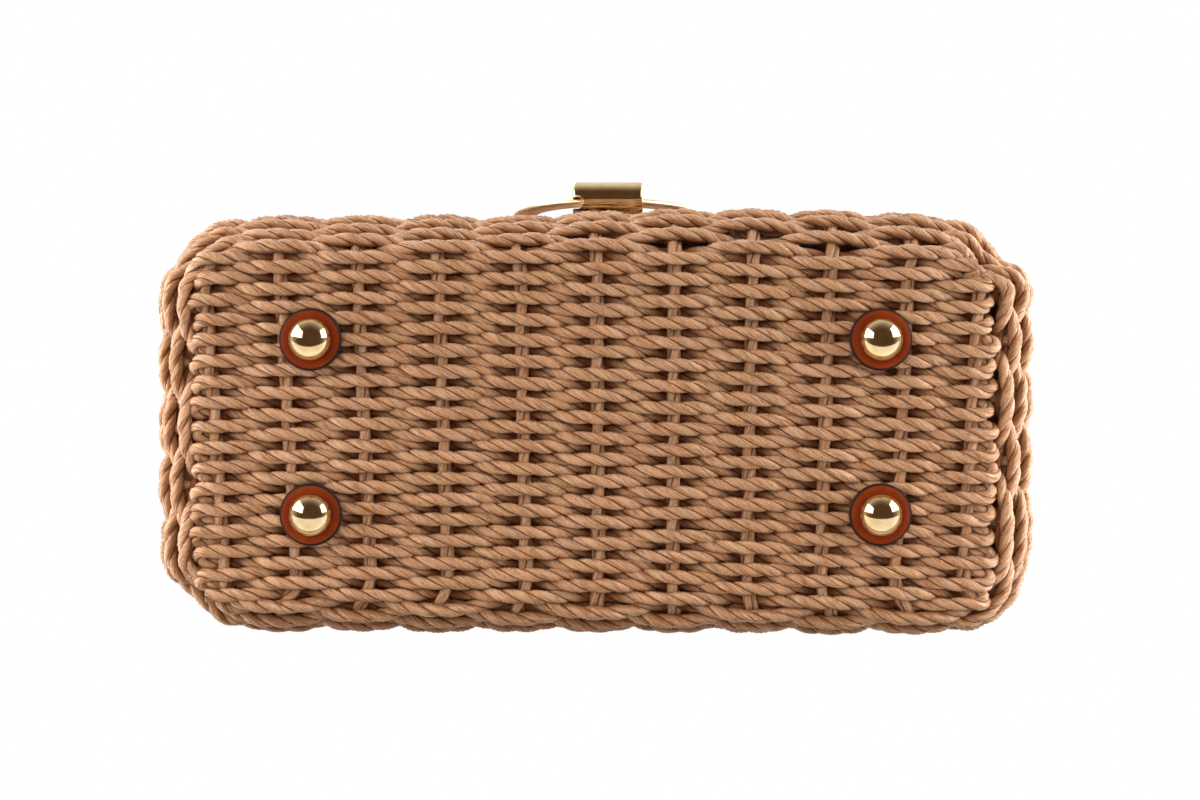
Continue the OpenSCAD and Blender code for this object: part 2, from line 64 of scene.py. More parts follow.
class Body(Enum):
    """The moving bodies that pieces ride on."""

    BASKET = "basket"
    LID = "lid"
    RING = "ring"


class Slot(Enum):
    """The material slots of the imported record."""

    CORD = "cord"
    LEATHER = "leather"
    GOLD = "gold"


def add_object(name: str, data: bpy.types.ID) -> bpy.types.Object:
    """Makes an object and puts it into the scene.

    Args:
        name: Its name.
        data: Its mesh, light or camera.

    Returns:
        The object.
    """
    made = bpy.data.objects.new(name, data)
    bpy.context.scene.collection.objects.link(made)
    return made


class Sock:
    """A node socket that can be used in Python arithmetic."""

    def __init__(self, graph: Graph, raw: bpy.types.NodeSocket) -> None:
        """Keeps the graph and its socket."""
        self.graph = graph
        self.raw = raw

    def math(self, operation: str, *values: Sock | float) -> Sock:
        """Adds one Math node.

        Args:
            operation: The node's operation.
            values: Its inputs, in order.

        Returns:
            The node's output.
        """
        links = dict(enumerate(values))
        return self.graph.add("ShaderNodeMath", {"operation": operation}, links, 0)

    def also(self, out: str | int) -> Sock:
        """Gives another output of the same node."""
        return Sock(self.graph, self.raw.node.outputs[out])

    def __add__(self, other: Sock | float) -> Sock:
        """Adds."""
        return self.math("ADD", self, other)

    __radd__ = __add__

    def __sub__(self, other: Sock | float) -> Sock:
        """Subtracts."""
        return self.math("SUBTRACT", self, other)

    def __rsub__(self, other: float) -> Sock:
        """Subtracts from a number."""
        return self.math("SUBTRACT", other, self)

    def __mul__(self, other: Sock | float) -> Sock:
        """Multiplies."""
        return self.math("MULTIPLY", self, other)

    __rmul__ = __mul__

    def __truediv__(self, other: Sock | float) -> Sock:
        """Divides."""
        return self.math("DIVIDE", self, other)

    def __pow__(self, other: float) -> Sock:
        """Raises to a power."""
        return self.math("POWER", self, other)

    def __abs__(self) -> Sock:
        """Takes the absolute value."""
        return self.math("ABSOLUTE", self)

    def step(self, low: float, high: float) -> Sock:
        """Smooth step from 0 at low to 1 at high.

        Args:
            low: Value that gives 0.
            high: Value that gives 1.

        Returns:
            The step.
        """
        return self.graph.add(
            "ShaderNodeMapRange",
            {"interpolation_type": "SMOOTHSTEP"},
            {"Value": self, "From Min": low, "From Max": high},
            0,
        )


class Graph:
    """Adds nodes to one shader or geometry tree."""

    def __init__(self, tree: bpy.types.NodeTree) -> None:
        """Keeps the tree."""
        self.tree = tree

    def add(
        self,
        kind: str,
        settings: dict[str, object] | None = None,
        sockets: dict[str | int, object] | None = None,
        out: str | int = 0,
    ) -> Sock:
        """Adds one node.

        Args:
            kind: The node's type.
            settings: Its properties, which are set first.
            sockets: Values or links of its inputs, by name or place.
            out: The output to hand back.

        Returns:
            That output.
        """
        node = self.tree.nodes.new(kind)
        for key, value in (settings or {}).items():
            setattr(node, key, value)
        for key, value in (sockets or {}).items():
            self.link(value, self._input(node, key))
        return Sock(self, node.outputs[out] if len(node.outputs) else None)

    def link(self, value: object, target: bpy.types.NodeSocket) -> None:
        """Links a socket to an input, or sets the input's value.

        Args:
            value: A socket or a plain value.
            target: The input.
        """
        if isinstance(value, Sock):
            self.tree.links.new(value.raw, target)
        elif isinstance(value, tuple) and target.type == "RGBA" and len(value) == 3:
            target.default_value = (*value, 1.0)
        else:
            target.default_value = value

    def mix(self, factor: Sock | float, first: object, second: object) -> Sock:
        """Mixes two colours by a factor.

        Args:
            factor: Share of the second.
            first: First colour.
            second: Second colour.

        Returns:
            The mixed colour.
        """
        return self.add(
            "ShaderNodeMix",
            {"data_type": "RGBA", "clamp_factor": True},
            {0: factor, 6: first, 7: second},
            2,
        )

    def coats(self, colour: object, coats: Iterable[tuple[Sock, Colour]]) -> Sock:
        """Lays coats of colour over a base, each through its own mask.

        Args:
            colour: The base.
            coats: A mask and a colour for each coat, lowest first.

        Returns:
            The colour on top.
        """
        for mask, tint in coats:
            colour = self.mix(mask, colour, tint)
        return colour

    def noise(self, vector: Sock, scale: float, detail: float, rough: float = 0.55) -> Sock:
        """Adds a noise texture and gives its value."""
        links = {"Vector": vector, "Scale": scale, "Detail": detail, "Roughness": rough}
        return self.add("ShaderNodeTexNoise", {"noise_dimensions": "3D"}, links, 0)

    def object_point(self) -> Sock:
        """Gives the object coordinates."""
        return self.add("ShaderNodeTexCoord", out="Object")

    def scaled(self, vector: Sock, factors: tuple[float, float, float]) -> Sock:
        """Multiplies a vector by three numbers."""
        return self.add("ShaderNodeVectorMath", {"operation": "MULTIPLY"}, {0: vector, 1: factors}, 0)

    def attribute(self, name: str, out: str = "Fac") -> Sock:
        """Reads a mesh attribute."""
        return self.add("ShaderNodeAttribute", {"attribute_name": name}, out=out)

    def bump(self, height: Sock, distance: float, strength: float = 1.0) -> Sock:
        """Turns a height into a normal; distance is in metres."""
        links = {"Height": height, "Distance": distance, "Strength": strength}
        return self.add("ShaderNodeBump", None, links, 0)

    @staticmethod
    def _input(node: bpy.types.Node, key: str | int) -> bpy.types.NodeSocket:
        """Finds an enabled input by name or place.

        Args:
            node: The node.
            key: Name or place of the input.

        Returns:
            The input.
        """
        if isinstance(key, int):
            return node.inputs[key]
        return next(s for s in node.inputs if s.name == key and s.enabled)


def new_material(
    name: str,
    constants: dict[str, object],
    build: Callable[[Graph], dict[str, Sock]],
) -> bpy.types.Material:
    """Makes a principled material.

    Args:
        name: The material's name.
        constants: Values that are the same all over, by socket.
        build: Adds the nodes and gives what changes over the surface, by socket.

    Returns:
        The material.
    """
    material = bpy.data.materials.new(name)
    material.use_nodes = True
    tree = material.node_tree
    shader = next(n for n in tree.nodes if n.type == "BSDF_PRINCIPLED")
    graph = Graph(tree)
    for key, value in {**constants, **build(graph)}.items():
        graph.link(value, shader.inputs[key])
    return material


@dataclass(frozen=True)
class CordFinish:
    """Two-ply twisted paper cord.

    Fibres are counted across a ply and along the cord, blotches and grains in a metre.
    """

    name: str = "twisted_paper_cord"
    bright: Colour = (0.59, 0.367, 0.223)
    pale: Colour = (0.565, 0.306, 0.158)
    warm: Colour = (0.42, 0.188, 0.078)
    # side: painted shade at a cord's flanks, where it turns away from the face and meets its neighbours.
    side: Colour = (0.22, 0.068, 0.017)
    # dim: painted shade where a weaver dives between its neighbours.
    dim: Colour = (0.105, 0.019, 0.002)
    # deep: painted shade in fold creases and in the groove between the plies.
    deep: Colour = (0.080, 0.015, 0.002)
    fibres: float = 1.9
    fibre_run: float = 170.0
    strand_shift: float = 40.0
    fine_fibres: tuple[float, float, float] = (3.1, 3.1, 2.3)
    creases: tuple[float, float, float] = (1.3, 1.3, 0.7)
    crease_width: float = 0.05
    groove_width: float = 0.24
    blotches: float = 55.0
    grains: float = 1500.0
    relief: float = 0.0004

    def material(self) -> bpy.types.Material:
        """Builds the material: crushed paper along each ply, with painted shade where it dives, at its flanks,
        in its fold creases and in the groove between plies.
        """
        return new_material(self.name, {"Specular IOR Level": 0.05}, self._nodes)

    def _nodes(self, g: Graph) -> dict[str, Sock]:
        """Adds the nodes.

        Args:
            g: The tree.

        Returns:
            What changes over the surface, by socket.
        """
        beside = g.add("ShaderNodeSeparateXYZ", None, {0: g.attribute("ply", "Vector")})
        across = beside.also(1)
        shift = g.attribute("along") * self.fibre_run + g.attribute("tone") * self.strand_shift
        spot = {0: beside * self.fibres, 1: across * self.fibres, 2: shift}
        place = g.add("ShaderNodeCombineXYZ", None, spot)
        streak = g.noise(place, 1.0, 3.0, 0.6)
        fine = g.noise(g.scaled(place, self.fine_fibres), 1.0, 3.0, 0.65)
        crease = abs(g.noise(g.scaled(place, self.creases), 1.0, 1.0) - 0.5)
        fold = 1.0 - crease.step(0.0, self.crease_width)
        blotch = g.noise(g.object_point(), self.blotches, 2.0)
        grain = g.noise(g.object_point(), self.grains, 2.0, 0.6)
        groove = 1.0 - abs(across).step(0.0, self.groove_width)
        pair = {0: g.add("ShaderNodeTexCoord", out="Normal"), 1: g.attribute("outward", "Vector")}
        facing = g.add("ShaderNodeVectorMath", {"operation": "DOT_PRODUCT"}, pair, "Value")
        light = (streak * 0.6 + fine * 0.4).step(0.36, 0.62)
        coats = (
            (light, self.pale),
            ((streak * 0.4 + fine * 0.6).step(0.5, 0.68) * 0.5, self.bright),
            ((1.0 - blotch.step(0.3, 0.62)) * 0.3, self.warm),
            (grain.step(0.52, 0.72) * 0.5, self.bright),
            ((1.0 - grain.step(0.28, 0.48)) * 0.5, self.warm),
            # Fold creases are dented in the bump and darkened with painted shade.
            (fold * 0.5, self.deep),
            # Painted shade where a weaver dives, on its outward face only.
            (g.attribute("shade") * facing.step(-0.35, 0.25) * 0.85, self.dim),
            # Painted shade at the flanks of each cord.
            ((1.0 - facing.step(0.1, 0.62)) * 0.55, self.side),
            # Painted shade in the groove between the plies.
            (groove * (0.6 + fine * 0.5), self.deep),
        )
        height = streak * 0.6 + fine * 0.35 + grain * 0.2 - fold * 0.3
        return {
            "Base Color": g.coats(self.warm, coats),
            "Roughness": 0.78 - light * 0.16,
            "Normal": g.bump(height, self.relief, 0.9),
        }


@dataclass(frozen=True)
class LeatherFinish:
    """Smooth vegetable-tanned leather with painted edges; its grain is counted in a metre."""

    name: str = "tan_leather"
    face: Colour = (0.146, 0.0165, 0.0008)
    worn: Colour = (0.190, 0.0265, 0.002)
    edge: Colour = (0.022, 0.009, 0.006)
    cells: float = 2600.0
    pores: float = 1500.0
    clouds: float = 130.0
    relief: float = 0.00012

    def material(self) -> bpy.types.Material:
        """Builds the material: fine grain, cloudy dye, and dark paint where the edge attribute is 1."""
        return new_material(self.name, {"Specular IOR Level": 0.07}, self._nodes)

    def _nodes(self, g: Graph) -> dict[str, Sock]:
        """Adds the nodes.

        Args:
            g: The tree.

        Returns:
            What changes over the surface, by socket.
        """
        point = g.object_point()
        links = {"Vector": point, "Scale": self.cells, "Randomness": 1.0}
        cells = g.add("ShaderNodeTexVoronoi", {"feature": "F1"}, links, "Distance")
        pores = g.noise(point, self.pores, 3.0)
        cloud = g.noise(point, self.clouds, 3.0)
        edge = g.attribute("edge").step(0.35, 0.75)
        coats = (
            (cloud.step(0.38, 0.68) * 0.75, self.worn),
            (pores.step(0.52, 0.75) * 0.25, self.edge),
            (edge, self.edge),
        )
        return {
            "Base Color": g.coats(self.face, coats),
            "Roughness": 0.43 + pores * 0.16 - edge * 0.12,
            "Normal": g.bump(cells * 0.8 + pores * 0.5, self.relief, 0.55),
        }


@dataclass(frozen=True)
class GoldFinish:
    """Polished light gold plate; its clouds and hairlines are counted in a metre."""

    name: str = "polished_gold"
    bright: Colour = (0.90, 0.70, 0.40)
    warm: Colour = (0.80, 0.56, 0.26)
    gloss: float = 0.05
    clouds: float = 260.0
    hairlines: tuple[float, float, float] = (900.0, 4200.0, 900.0)
    relief: float = 0.000004

    def material(self) -> bpy.types.Material:
        """Builds the material: mirror polish with faint hairlines and handling marks."""
        return new_material(self.name, {"Metallic": 1.0}, self._nodes)

    def _nodes(self, g: Graph) -> dict[str, Sock]:
        """Adds the nodes.

        Args:
            g: The tree.

        Returns:
            What changes over the surface, by socket.
        """
        point = g.object_point()
        cloud = g.noise(point, self.clouds, 3.0)
        hair = g.noise(g.scaled(point, self.hairlines), 1.0, 2.0)
        return {
            "Base Color": g.mix(cloud.step(0.35, 0.7), self.bright, self.warm),
            "Roughness": self.gloss + cloud * 0.05 + hair * 0.03,
            "Normal": g.bump(hair, self.relief, 0.35),
        }


SATIN_GOLD = GoldFinish("satin_gold", bright=(0.94, 0.80, 0.56), warm=(0.88, 0.70, 0.44), gloss=0.26)


@dataclass(frozen=True)
class ThreadFinish:
    """Waxed sewing thread; its twists are counted in a metre."""

    name: str = "waxed_thread"
    light: Colour = (0.40, 0.19, 0.085)
    dark: Colour = (0.20, 0.075, 0.03)
    twists: float = 2400.0
    relief: float = 0.00008

    def material(self) -> bpy.types.Material:
        """Builds the material: fine twist in tone and height."""
        return new_material(self.name, {"Specular IOR Level": 0.35}, self._nodes)

    def _nodes(self, g: Graph) -> dict[str, Sock]:
        """Adds the nodes.

        Args:
            g: The tree.

        Returns:
            What changes over the surface, by socket.
        """
        twist = g.noise(g.object_point(), self.twists, 2.0)
        return {
            "Base Color": g.mix(twist.step(0.35, 0.65), self.dark, self.light),
            "Roughness": 0.5 + twist * 0.15,
            "Normal": g.bump(twist, self.relief, 0.7),
        }


@dataclass
class Palette:
    """The materials, made once."""

    cord: bpy.types.Material = field(default_factory=lambda: CordFinish().material())
    leather: bpy.types.Material = field(default_factory=lambda: LeatherFinish().material())
    gold: bpy.types.Material = field(default_factory=lambda: GoldFinish().material())
    satin: bpy.types.Material = field(default_factory=lambda: SATIN_GOLD.material())
    thread: bpy.types.Material = field(default_factory=lambda: ThreadFinish().material())


def hand_over(piece: bpy.types.Object, body: Body, slot: Slot, nodes: Iterable[str]) -> None:
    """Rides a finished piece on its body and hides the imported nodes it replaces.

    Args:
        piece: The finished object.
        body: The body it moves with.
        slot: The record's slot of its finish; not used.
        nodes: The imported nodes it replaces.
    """
    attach(piece, body.value)
    nodes = tuple(nodes)
    if nodes:
        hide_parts(*nodes)
    LOG.info("%s: %d faces on %s", piece.name, len(piece.data.polygons), body.value)


@dataclass
class Strand:
    """One run of cord, in millimetres.

    It has a tone, the start of its twist, how deep each point lies in the weave, which sets its painted shade
    and girth, and which way is out there.
    """

    points: np.ndarray
    closed: bool
    tone: float
    phase: float
    shade: np.ndarray | float = 0.0
    outward: np.ndarray | tuple[float, float, float] = (0.0, 0.0, 0.0)


def resample(points: np.ndarray, pitch: float, closed: bool) -> np.ndarray:
    """Spaces the points of a path evenly.

    Args:
        points: The path, three columns and any values that go with the points.
        pitch: The wanted spacing.
        closed: True for a loop.

    Returns:
        Evenly spaced points; a loop doesn't repeat its first point.
    """
    path = np.vstack([points, points[:1]]) if closed else points
    steps = np.linalg.norm(np.diff(path[:, :3], axis=0), axis=1)
    run = np.concatenate([[0.0], np.cumsum(steps)])
    count = max(4, int(round(run[-1] / pitch)))
    marks = np.linspace(0.0, run[-1], count + 1)
    marks = marks[:-1] if closed else marks
    return np.column_stack([np.interp(marks, run, column) for column in path.T])


@dataclass(frozen=True)
class Stray:
    """Slow random drift along a path: how far it goes, and the points over which it is smooth."""

    far: float
    reach: float

    def along(self, rng: np.random.Generator, count: int, closed: bool) -> np.ndarray:
        """Draws the drift.

        Args:
            rng: The seeded source.
            count: Number of points.
            closed: True for a loop.

        Returns:
            One value for each point, about -far to far.
        """
        knots = max(4, int(count / self.reach))
        values = rng.uniform(-1.0, 1.0, knots)
        ends = values[0] if closed else rng.uniform(-1.0, 1.0)
        marks = np.linspace(0.0, knots, count, endpoint=not closed)
        cell = np.minimum(marks.astype(int), knots - 1)
        part = marks - cell
        ease = part * part * (3.0 - 2.0 * part)
        after = np.append(values, ends)[cell + 1]
        return self.far * (values[cell] * (1.0 - ease) + after * ease)


# The cord's thickness as a share of its radius: at a crown, what it loses where it dives, and its drift.
GIRTH = 1.1
GIRTH_LOST = 0.08
GIRTH_STRAY = Stray(0.05, 9.0)

# Radius at the groove between the plies, as a share of the full radius.
PLY_WAIST = 0.58


def lay_guide(name: str, strands: Sequence[Strand]) -> bpy.types.Object:
    """Lays strands out as edges that carry their numbers.

    Args:
        name: The piece's name, which seeds the uneven girth with the number of strands.
        strands: The runs.

    Returns:
        The guide.
    """
    rng = np.random.default_rng(len(strands) + len(name))
    mesh = bpy.data.meshes.new(name + "_guide")
    points, edges, outward = [], [], []
    numbers = {"tone": [], "phase": [], "girth": [], "shade": []}
    start = 0
    for strand in strands:
        count = len(strand.points)
        shade = np.broadcast_to(strand.shade, count)
        index = np.arange(start, start + count)
        pairs = np.column_stack([index, np.roll(index, -1)])
        points.append(strand.points * MM)
        edges.append(pairs if strand.closed else pairs[:-1])
        outward.append(np.broadcast_to(strand.outward, (count, 3)))
        numbers["tone"].append(np.full(count, strand.tone))
        numbers["phase"].append(np.full(count, strand.phase))
        numbers["girth"].append(GIRTH - GIRTH_LOST * shade + GIRTH_STRAY.along(rng, count, strand.closed))
        numbers["shade"].append(shade)
        start += count
    mesh.from_pydata(np.vstack(points), np.vstack(edges).tolist(), [])
    for key, values in numbers.items():
        layer = mesh.attributes.new(key, "FLOAT", "POINT")
        layer.data.foreach_set("value", np.concatenate(values).astype(np.float32))
    layer = mesh.attributes.new("outward", "FLOAT_VECTOR", "POINT")
    layer.data.foreach_set("vector", np.vstack(outward).astype(np.float32).ravel())
    return add_object(name + "_guide", mesh)


def plain_piece(guide: bpy.types.Object, name: str) -> bpy.types.Object:
    """Turns an object with modifiers into a plain mesh piece and removes the guide.

    Args:
        guide: The object with its modifiers.
        name: The piece's name.

    Returns:
        The piece.
    """
    graph = bpy.context.evaluated_depsgraph_get()
    shown = guide.evaluated_get(graph)
    mesh = bpy.data.meshes.new_from_object(shown, preserve_all_data_layers=True, depsgraph=graph)
    mesh.name = name
    piece = add_object(name, mesh)
    old = guide.data
    bpy.data.objects.remove(guide)
    bpy.data.meshes.remove(old)
    return piece


class StrandTool:
    """A Geometry Nodes tree that makes a piece from strands; each kind says what it shapes along them."""

    title: str
    inputs: dict[str, str]

    def __init__(self, material: bpy.types.Material) -> None:
        """Builds the tree with its named inputs.

        Args:
            material: Finish of the pieces.
        """
        self.material = material
        self.tree = bpy.data.node_groups.new(self.title, "GeometryNodeTree")
        kinds = {"Strands": "Geometry", **self.inputs, "Finish": "Material"}
        self.keys = {name: self._socket(name, kind, "INPUT") for name, kind in kinds.items()}
        self._socket("Piece", "Geometry", "OUTPUT")
        g = Graph(self.tree)
        strands = g.add("NodeGroupInput", out="Strands")
        given = {name: strands.also(name) for name in kinds}
        curve = g.add("GeometryNodeMeshToCurve", None, {"Mesh": strands})
        mesh = g.add("GeometryNodeRealizeInstances", None, {"Geometry": self.shape(g, curve, given)})
        mesh = g.add("GeometryNodeSetShadeSmooth", None, {"Geometry": mesh, "Shade Smooth": True})
        mesh = g.add("GeometryNodeSetMaterial", None, {"Geometry": mesh, "Material": given["Finish"]})
        g.add("NodeGroupOutput", None, {0: mesh})

    def _socket(self, name: str, kind: str, way: str) -> str:
        """Adds a socket to the tree's interface and gives its identifier."""
        return self.tree.interface.new_socket(name, in_out=way, socket_type="NodeSocket" + kind).identifier

    def shape(self, g: Graph, curve: Sock, given: dict[str, Sock]) -> Sock:
        """Adds the nodes of the shape.

        Args:
            g: The tree.
            curve: The strands as curves.
            given: The tree's inputs by name.

        Returns:
            The shape.
        """
        raise NotImplementedError

    def make(self, name: str, strands: Sequence[Strand], sizes: dict[str, float]) -> bpy.types.Object:
        """Makes one piece.

        Args:
            name: The piece's name.
            strands: The runs that the tree follows.
            sizes: The tree's other inputs by name, lengths in metres.

        Returns:
            The piece, a plain mesh.
        """
        guide = lay_guide(name, strands)
        modifier = guide.modifiers.new(self.title, "NODES")
        modifier.node_group = self.tree
        for key, value in {**sizes, "Finish": self.material}.items():
            modifier[self.keys[key]] = value
        return plain_piece(guide, name)


class Loom(StrandTool):
    """Turns strands into two-ply cord."""

    title = "two_ply_cord"
    inputs = {"Radius": "Float", "Lay": "Float", "Sides": "Int"}

    def shape(self, g: Graph, curve: Sock, given: dict[str, Sock]) -> Sock:
        """Twists the path and sweeps a two-lobed section along it.

        Args:
            g: The tree.
            curve: The strands as curves.
            given: The tree's inputs by name.

        Returns:
            The cord.
        """
        length = g.add("GeometryNodeSplineParameter", out="Length")
        total = g.add("GeometryNodeSplineLength", out="Length")
        lays = total / given["Lay"]
        turns = lays.math("ROUND", lays)
        tilt = self._named(g, "phase") + length / total * turns * (2.0 * math.pi)
        curve = g.add("GeometryNodeSetCurveTilt", None, {"Curve": curve, "Tilt": tilt})
        curve = self._store(g, curve, "along", abs(length - total * 0.5), "FLOAT")
        circle = {"Resolution": given["Sides"], "Radius": 1.0}
        ring = g.add("GeometryNodeCurvePrimitiveCircle", {"mode": "RADIUS"}, circle)
        spot = g.add("GeometryNodeInputPosition")
        ring = self._store(g, ring, "ply", spot, "FLOAT_VECTOR")
        across = g.add("ShaderNodeSeparateXYZ", None, {0: self._named(g, "ply", "FLOAT_VECTOR")}, 1)
        lobe = abs(across) ** 0.5 * (1.0 - PLY_WAIST) + PLY_WAIST
        shaped = g.add("ShaderNodeVectorMath", {"operation": "SCALE"}, {0: spot, "Scale": lobe})
        ring = g.add("GeometryNodeSetPosition", None, {"Geometry": ring, "Position": shaped})
        girth = given["Radius"] * self._named(g, "girth")
        swept = {"Curve": curve, "Profile Curve": ring, "Scale": girth, "Fill Caps": True}
        return g.add("GeometryNodeCurveToMesh", None, swept)

    @staticmethod
    def _named(g: Graph, name: str, kind: str = "FLOAT") -> Sock:
        """Reads a value stored on the strands or the section."""
        return g.add("GeometryNodeInputNamedAttribute", {"data_type": kind}, {"Name": name})

    @staticmethod
    def _store(g: Graph, geometry: Sock, name: str, value: Sock, kind: str) -> Sock:
        """Stores a value on the points of a curve."""
        links = {"Geometry": geometry, "Name": name, "Value": value}
        return g.add("GeometryNodeStoreNamedAttribute", {"data_type": kind, "domain": "POINT"}, links)

    def spin(
        self, name: str, strands: Sequence[Strand], radius: float, lay: float, sides: int
    ) -> bpy.types.Object:
        """Makes one piece of cord from strands.

        Args:
            name: The piece's name.
            strands: The runs of cord.
            radius: Radius of the cord in millimetres.
            lay: Length of one full twist in millimetres.
            sides: Points round the cord.

        Returns:
            The piece, a plain mesh.
        """
        return self.make(name, strands, {"Radius": radius * MM, "Lay": lay * MM, "Sides": sides})


@dataclass
class Outline:
    """Rounded rectangle that the walls follow."""

    width: float = 234.0
    depth: float = 110.0
    corner: float = 18.0

    @property
    def straight(self) -> tuple[float, float]:
        """Straight lengths of the long and short sides."""
        return self.width - 2 * self.corner, self.depth - 2 * self.corner

    @property
    def perimeter(self) -> float:
        """Length of the outline."""
        return 2 * sum(self.straight) + 2 * math.pi * self.corner

    def at(self, s: np.ndarray) -> tuple[np.ndarray, np.ndarray]:
        """Points and outward normals at distances from the middle of the front.

        Args:
            s: Distances, towards the right.

        Returns:
            Points and normals, two columns each.
        """
        run_x, run_y = self.straight
        arc = math.pi * self.corner / 2
        q = np.mod(s + run_x / 2, self.perimeter)
        ix, iy = run_x / 2, run_y / 2
        legs = [(run_x, 0), (arc, 1), (run_y, 0), (arc, 1)] * 2
        centres = [(ix, -iy), (ix, iy), (-ix, iy), (-ix, -iy)]
        point = np.zeros((len(q), 2))
        normal = np.zeros((len(q), 2))
        start = 0.0
        for leg, (length, turn) in enumerate(legs):
            inside = (q >= start - 1e-9) & (q <= start + length + 1e-9)
            t = (q[inside] - start) / length
            side = leg // 2
            base = -math.pi / 2 + side * math.pi / 2
            angle = base + t * (math.pi / 2) * turn
            n = np.column_stack([np.cos(angle), np.sin(angle)])
            cx, cy = centres[side]
            if not turn:
                px, py = centres[side - 1]
                c = np.column_stack([px + (cx - px) * t, py + (cy - py) * t])
            else:
                c = np.array([[cx, cy]])
            point[inside] = c + n * self.corner
            normal[inside] = n
            start += length
        return point, normal


BASE_STAKES = (-105.0, -84.7, -63.8, -42.0, -19.9, 0.6, 21.5, 42.5, 63.3, 84.4, 103.7)
BASE_SWAY = (-0.9, -1.25, -1.0, -0.35, 0.15, 1.3, 2.0)
LID_STAKES = (-106.5, -85.4, -64.0, -42.9, -21.3, 0.3, 21.4, 42.8, 64.3, 85.5, 106.4)


@dataclass
class Weave:
    """What every woven face shares: the cord and how it rises over the stakes.

    A lay is the length of one twist. A weaver swings out by over and in by under, and a higher crown keeps it
    on top for longer. Rods of a waled row swing by wale_out and rise by wale_rise.
    """

    radius: float = 1.9
    lay: float = 13.4
    stake_lay: float = 40.0
    over: float = 2.35
    under: float = 2.0
    wale_out: float = 1.7
    wale_rise: float = 1.35
    crown: float = 1.45

    def swing(self, turns: np.ndarray) -> np.ndarray:
        """Rise and dip of a weaver, 1 over a stake and -1 under the next; stakes are at whole numbers."""
        return 1.0 - 2.0 * (0.5 - 0.5 * np.cos(np.pi * turns)) ** self.crown

    def height(self, swing: np.ndarray) -> np.ndarray:
        """Distance from the stakes' middle plane, outward positive."""
        return np.where(swing > 0, swing * self.over, swing * self.under)

    @staticmethod
    def depth_shade(swing: np.ndarray) -> np.ndarray:
        """How much painted shade darkens a weaver where it dives between its neighbours."""
        return np.interp(swing, [-0.85, -0.6, -0.3, 0.1], [1.0, 0.72, 0.26, 0.0])


@dataclass
class Mat:
    """A flat woven panel: a weaver that runs to and fro across straight stakes.

    Crest is the height of its outer face. Rows end at ends, give or take tips, and the first and last few are
    tucked in. Past the end stakes a row's tail rises or dips. Stakes splay and rows sway a little.
    """

    seed: int
    crest: float
    facing: float
    stakes: tuple[float, ...]
    rows: int = 33
    depth: float = 96.6
    shift: float = 0.0
    ends: tuple[float, float] = (109.0, 109.0)
    spacing: float = 1.3
    start: int = 0
    splay: float = 0.0
    splay_skew: float = 0.3
    splay_fan: float = 0.026
    splay_depth: float = 48.0
    reach: float = 2.2
    rise: float = 1.8
    tail: float = 3.0
    tail_dip: float = 0.3
    tips: tuple[float, float] = (-1.1, 1.0)
    tuck: float = 1.3
    tuck_rows: float = 1.5
    sway: tuple[float, ...] = (0.0,) * 7
    sway_at: tuple[float, ...] = (-108.0, -64.0, -30.0, 0.0, 30.0, 64.0, 108.0)
    sway_rows: float = 6.0
    row_points: int = 190
    drift: Stray = Stray(0.42, 21.0)
    lift: Stray = Stray(0.16, 15.0)
    weave: Weave = field(default_factory=Weave)

    @property
    def middle(self) -> float:
        """Height of the stakes' middle plane."""
        return self.crest - self.facing * (self.weave.over + self.weave.radius)

    def stakes_at(self, y: float) -> np.ndarray:
        """Places of the stakes along a row at a distance from the middle; they splay a little."""
        x = np.array(self.stakes)
        return x + self.splay * (self.splay_skew - self.splay_fan * x) * y / self.splay_depth

    def weaver(self) -> Strand:
        """Lays the one long weaver, row after row with a turn at each end.

        Returns:
            The weaver.
        """
        rng = np.random.default_rng(self.seed)
        pitch = self.depth / self.rows
        near = np.minimum(np.arange(self.rows + 1), self.rows - np.arange(self.rows + 1))
        tips = rng.uniform(*self.tips, self.rows + 1) - self.tuck * np.exp(-near / self.tuck_rows)
        path = np.empty((0, 4))
        for row in range(self.rows):
            y = self.shift - self.depth / 2 + (row + 0.5) * pitch
            sense = 1 if (row + self.start) % 2 == 0 else -1
            left, right = self.ends[::sense]
            x = np.linspace(-left - tips[row], right + tips[row + 1], self.row_points) * sense
            drift = self.drift.along(rng, len(x), False)
            lift = self.lift.along(rng, len(x), False)
            stakes = self.stakes_at(y)
            swing = self.weave.swing(np.interp(x, stakes, np.arange(len(stakes))) + row + self.start + 1)
            tail = np.clip(np.maximum(stakes[0] - x, x - stakes[-1]) / self.tail, 0.0, 1.0)
            z = self.weave.height(swing) + lift + tail * np.where(swing < 0, self.rise, -self.tail_dip)
            # Painted shade where the row dives, none in its tail.
            shade = self.weave.depth_shade(swing) * (1.0 - tail)
            slope = np.interp(x, self.sway_at, self.sway)
            slope *= np.where(x < 0, min(1.0, row / self.sway_rows), 1.0)
            run = np.column_stack([x, y + slope + drift, self.middle + self.facing * z, shade])
            run = resample(run, self.spacing, False)
            if row:
                path = np.vstack([path, self._bend(path[-1], run[0])])
            path = np.vstack([path, run])
        return Strand(path[:, :3], False, rng.uniform(), 0.0, path[:, 3], (0.0, 0.0, self.facing))

    def _bend(self, last: np.ndarray, first: np.ndarray) -> np.ndarray:
        """Half turn from the end of one row to the start of the next, round the end stake.

        Args:
            last: Last point of a row and its shade.
            first: First point of the next and its shade.

        Returns:
            Points between them and their shades.
        """
        angle = np.linspace(0.0, math.pi, 10)[1:-1, None]
        bend = last + (first - last) * (1.0 - np.cos(angle)) / 2
        bend[:, 0] += math.copysign(self.reach, last[0]) * np.sin(angle[:, 0])
        # No painted shade in the turn.
        bend[:, 3] = 0.0
        return bend


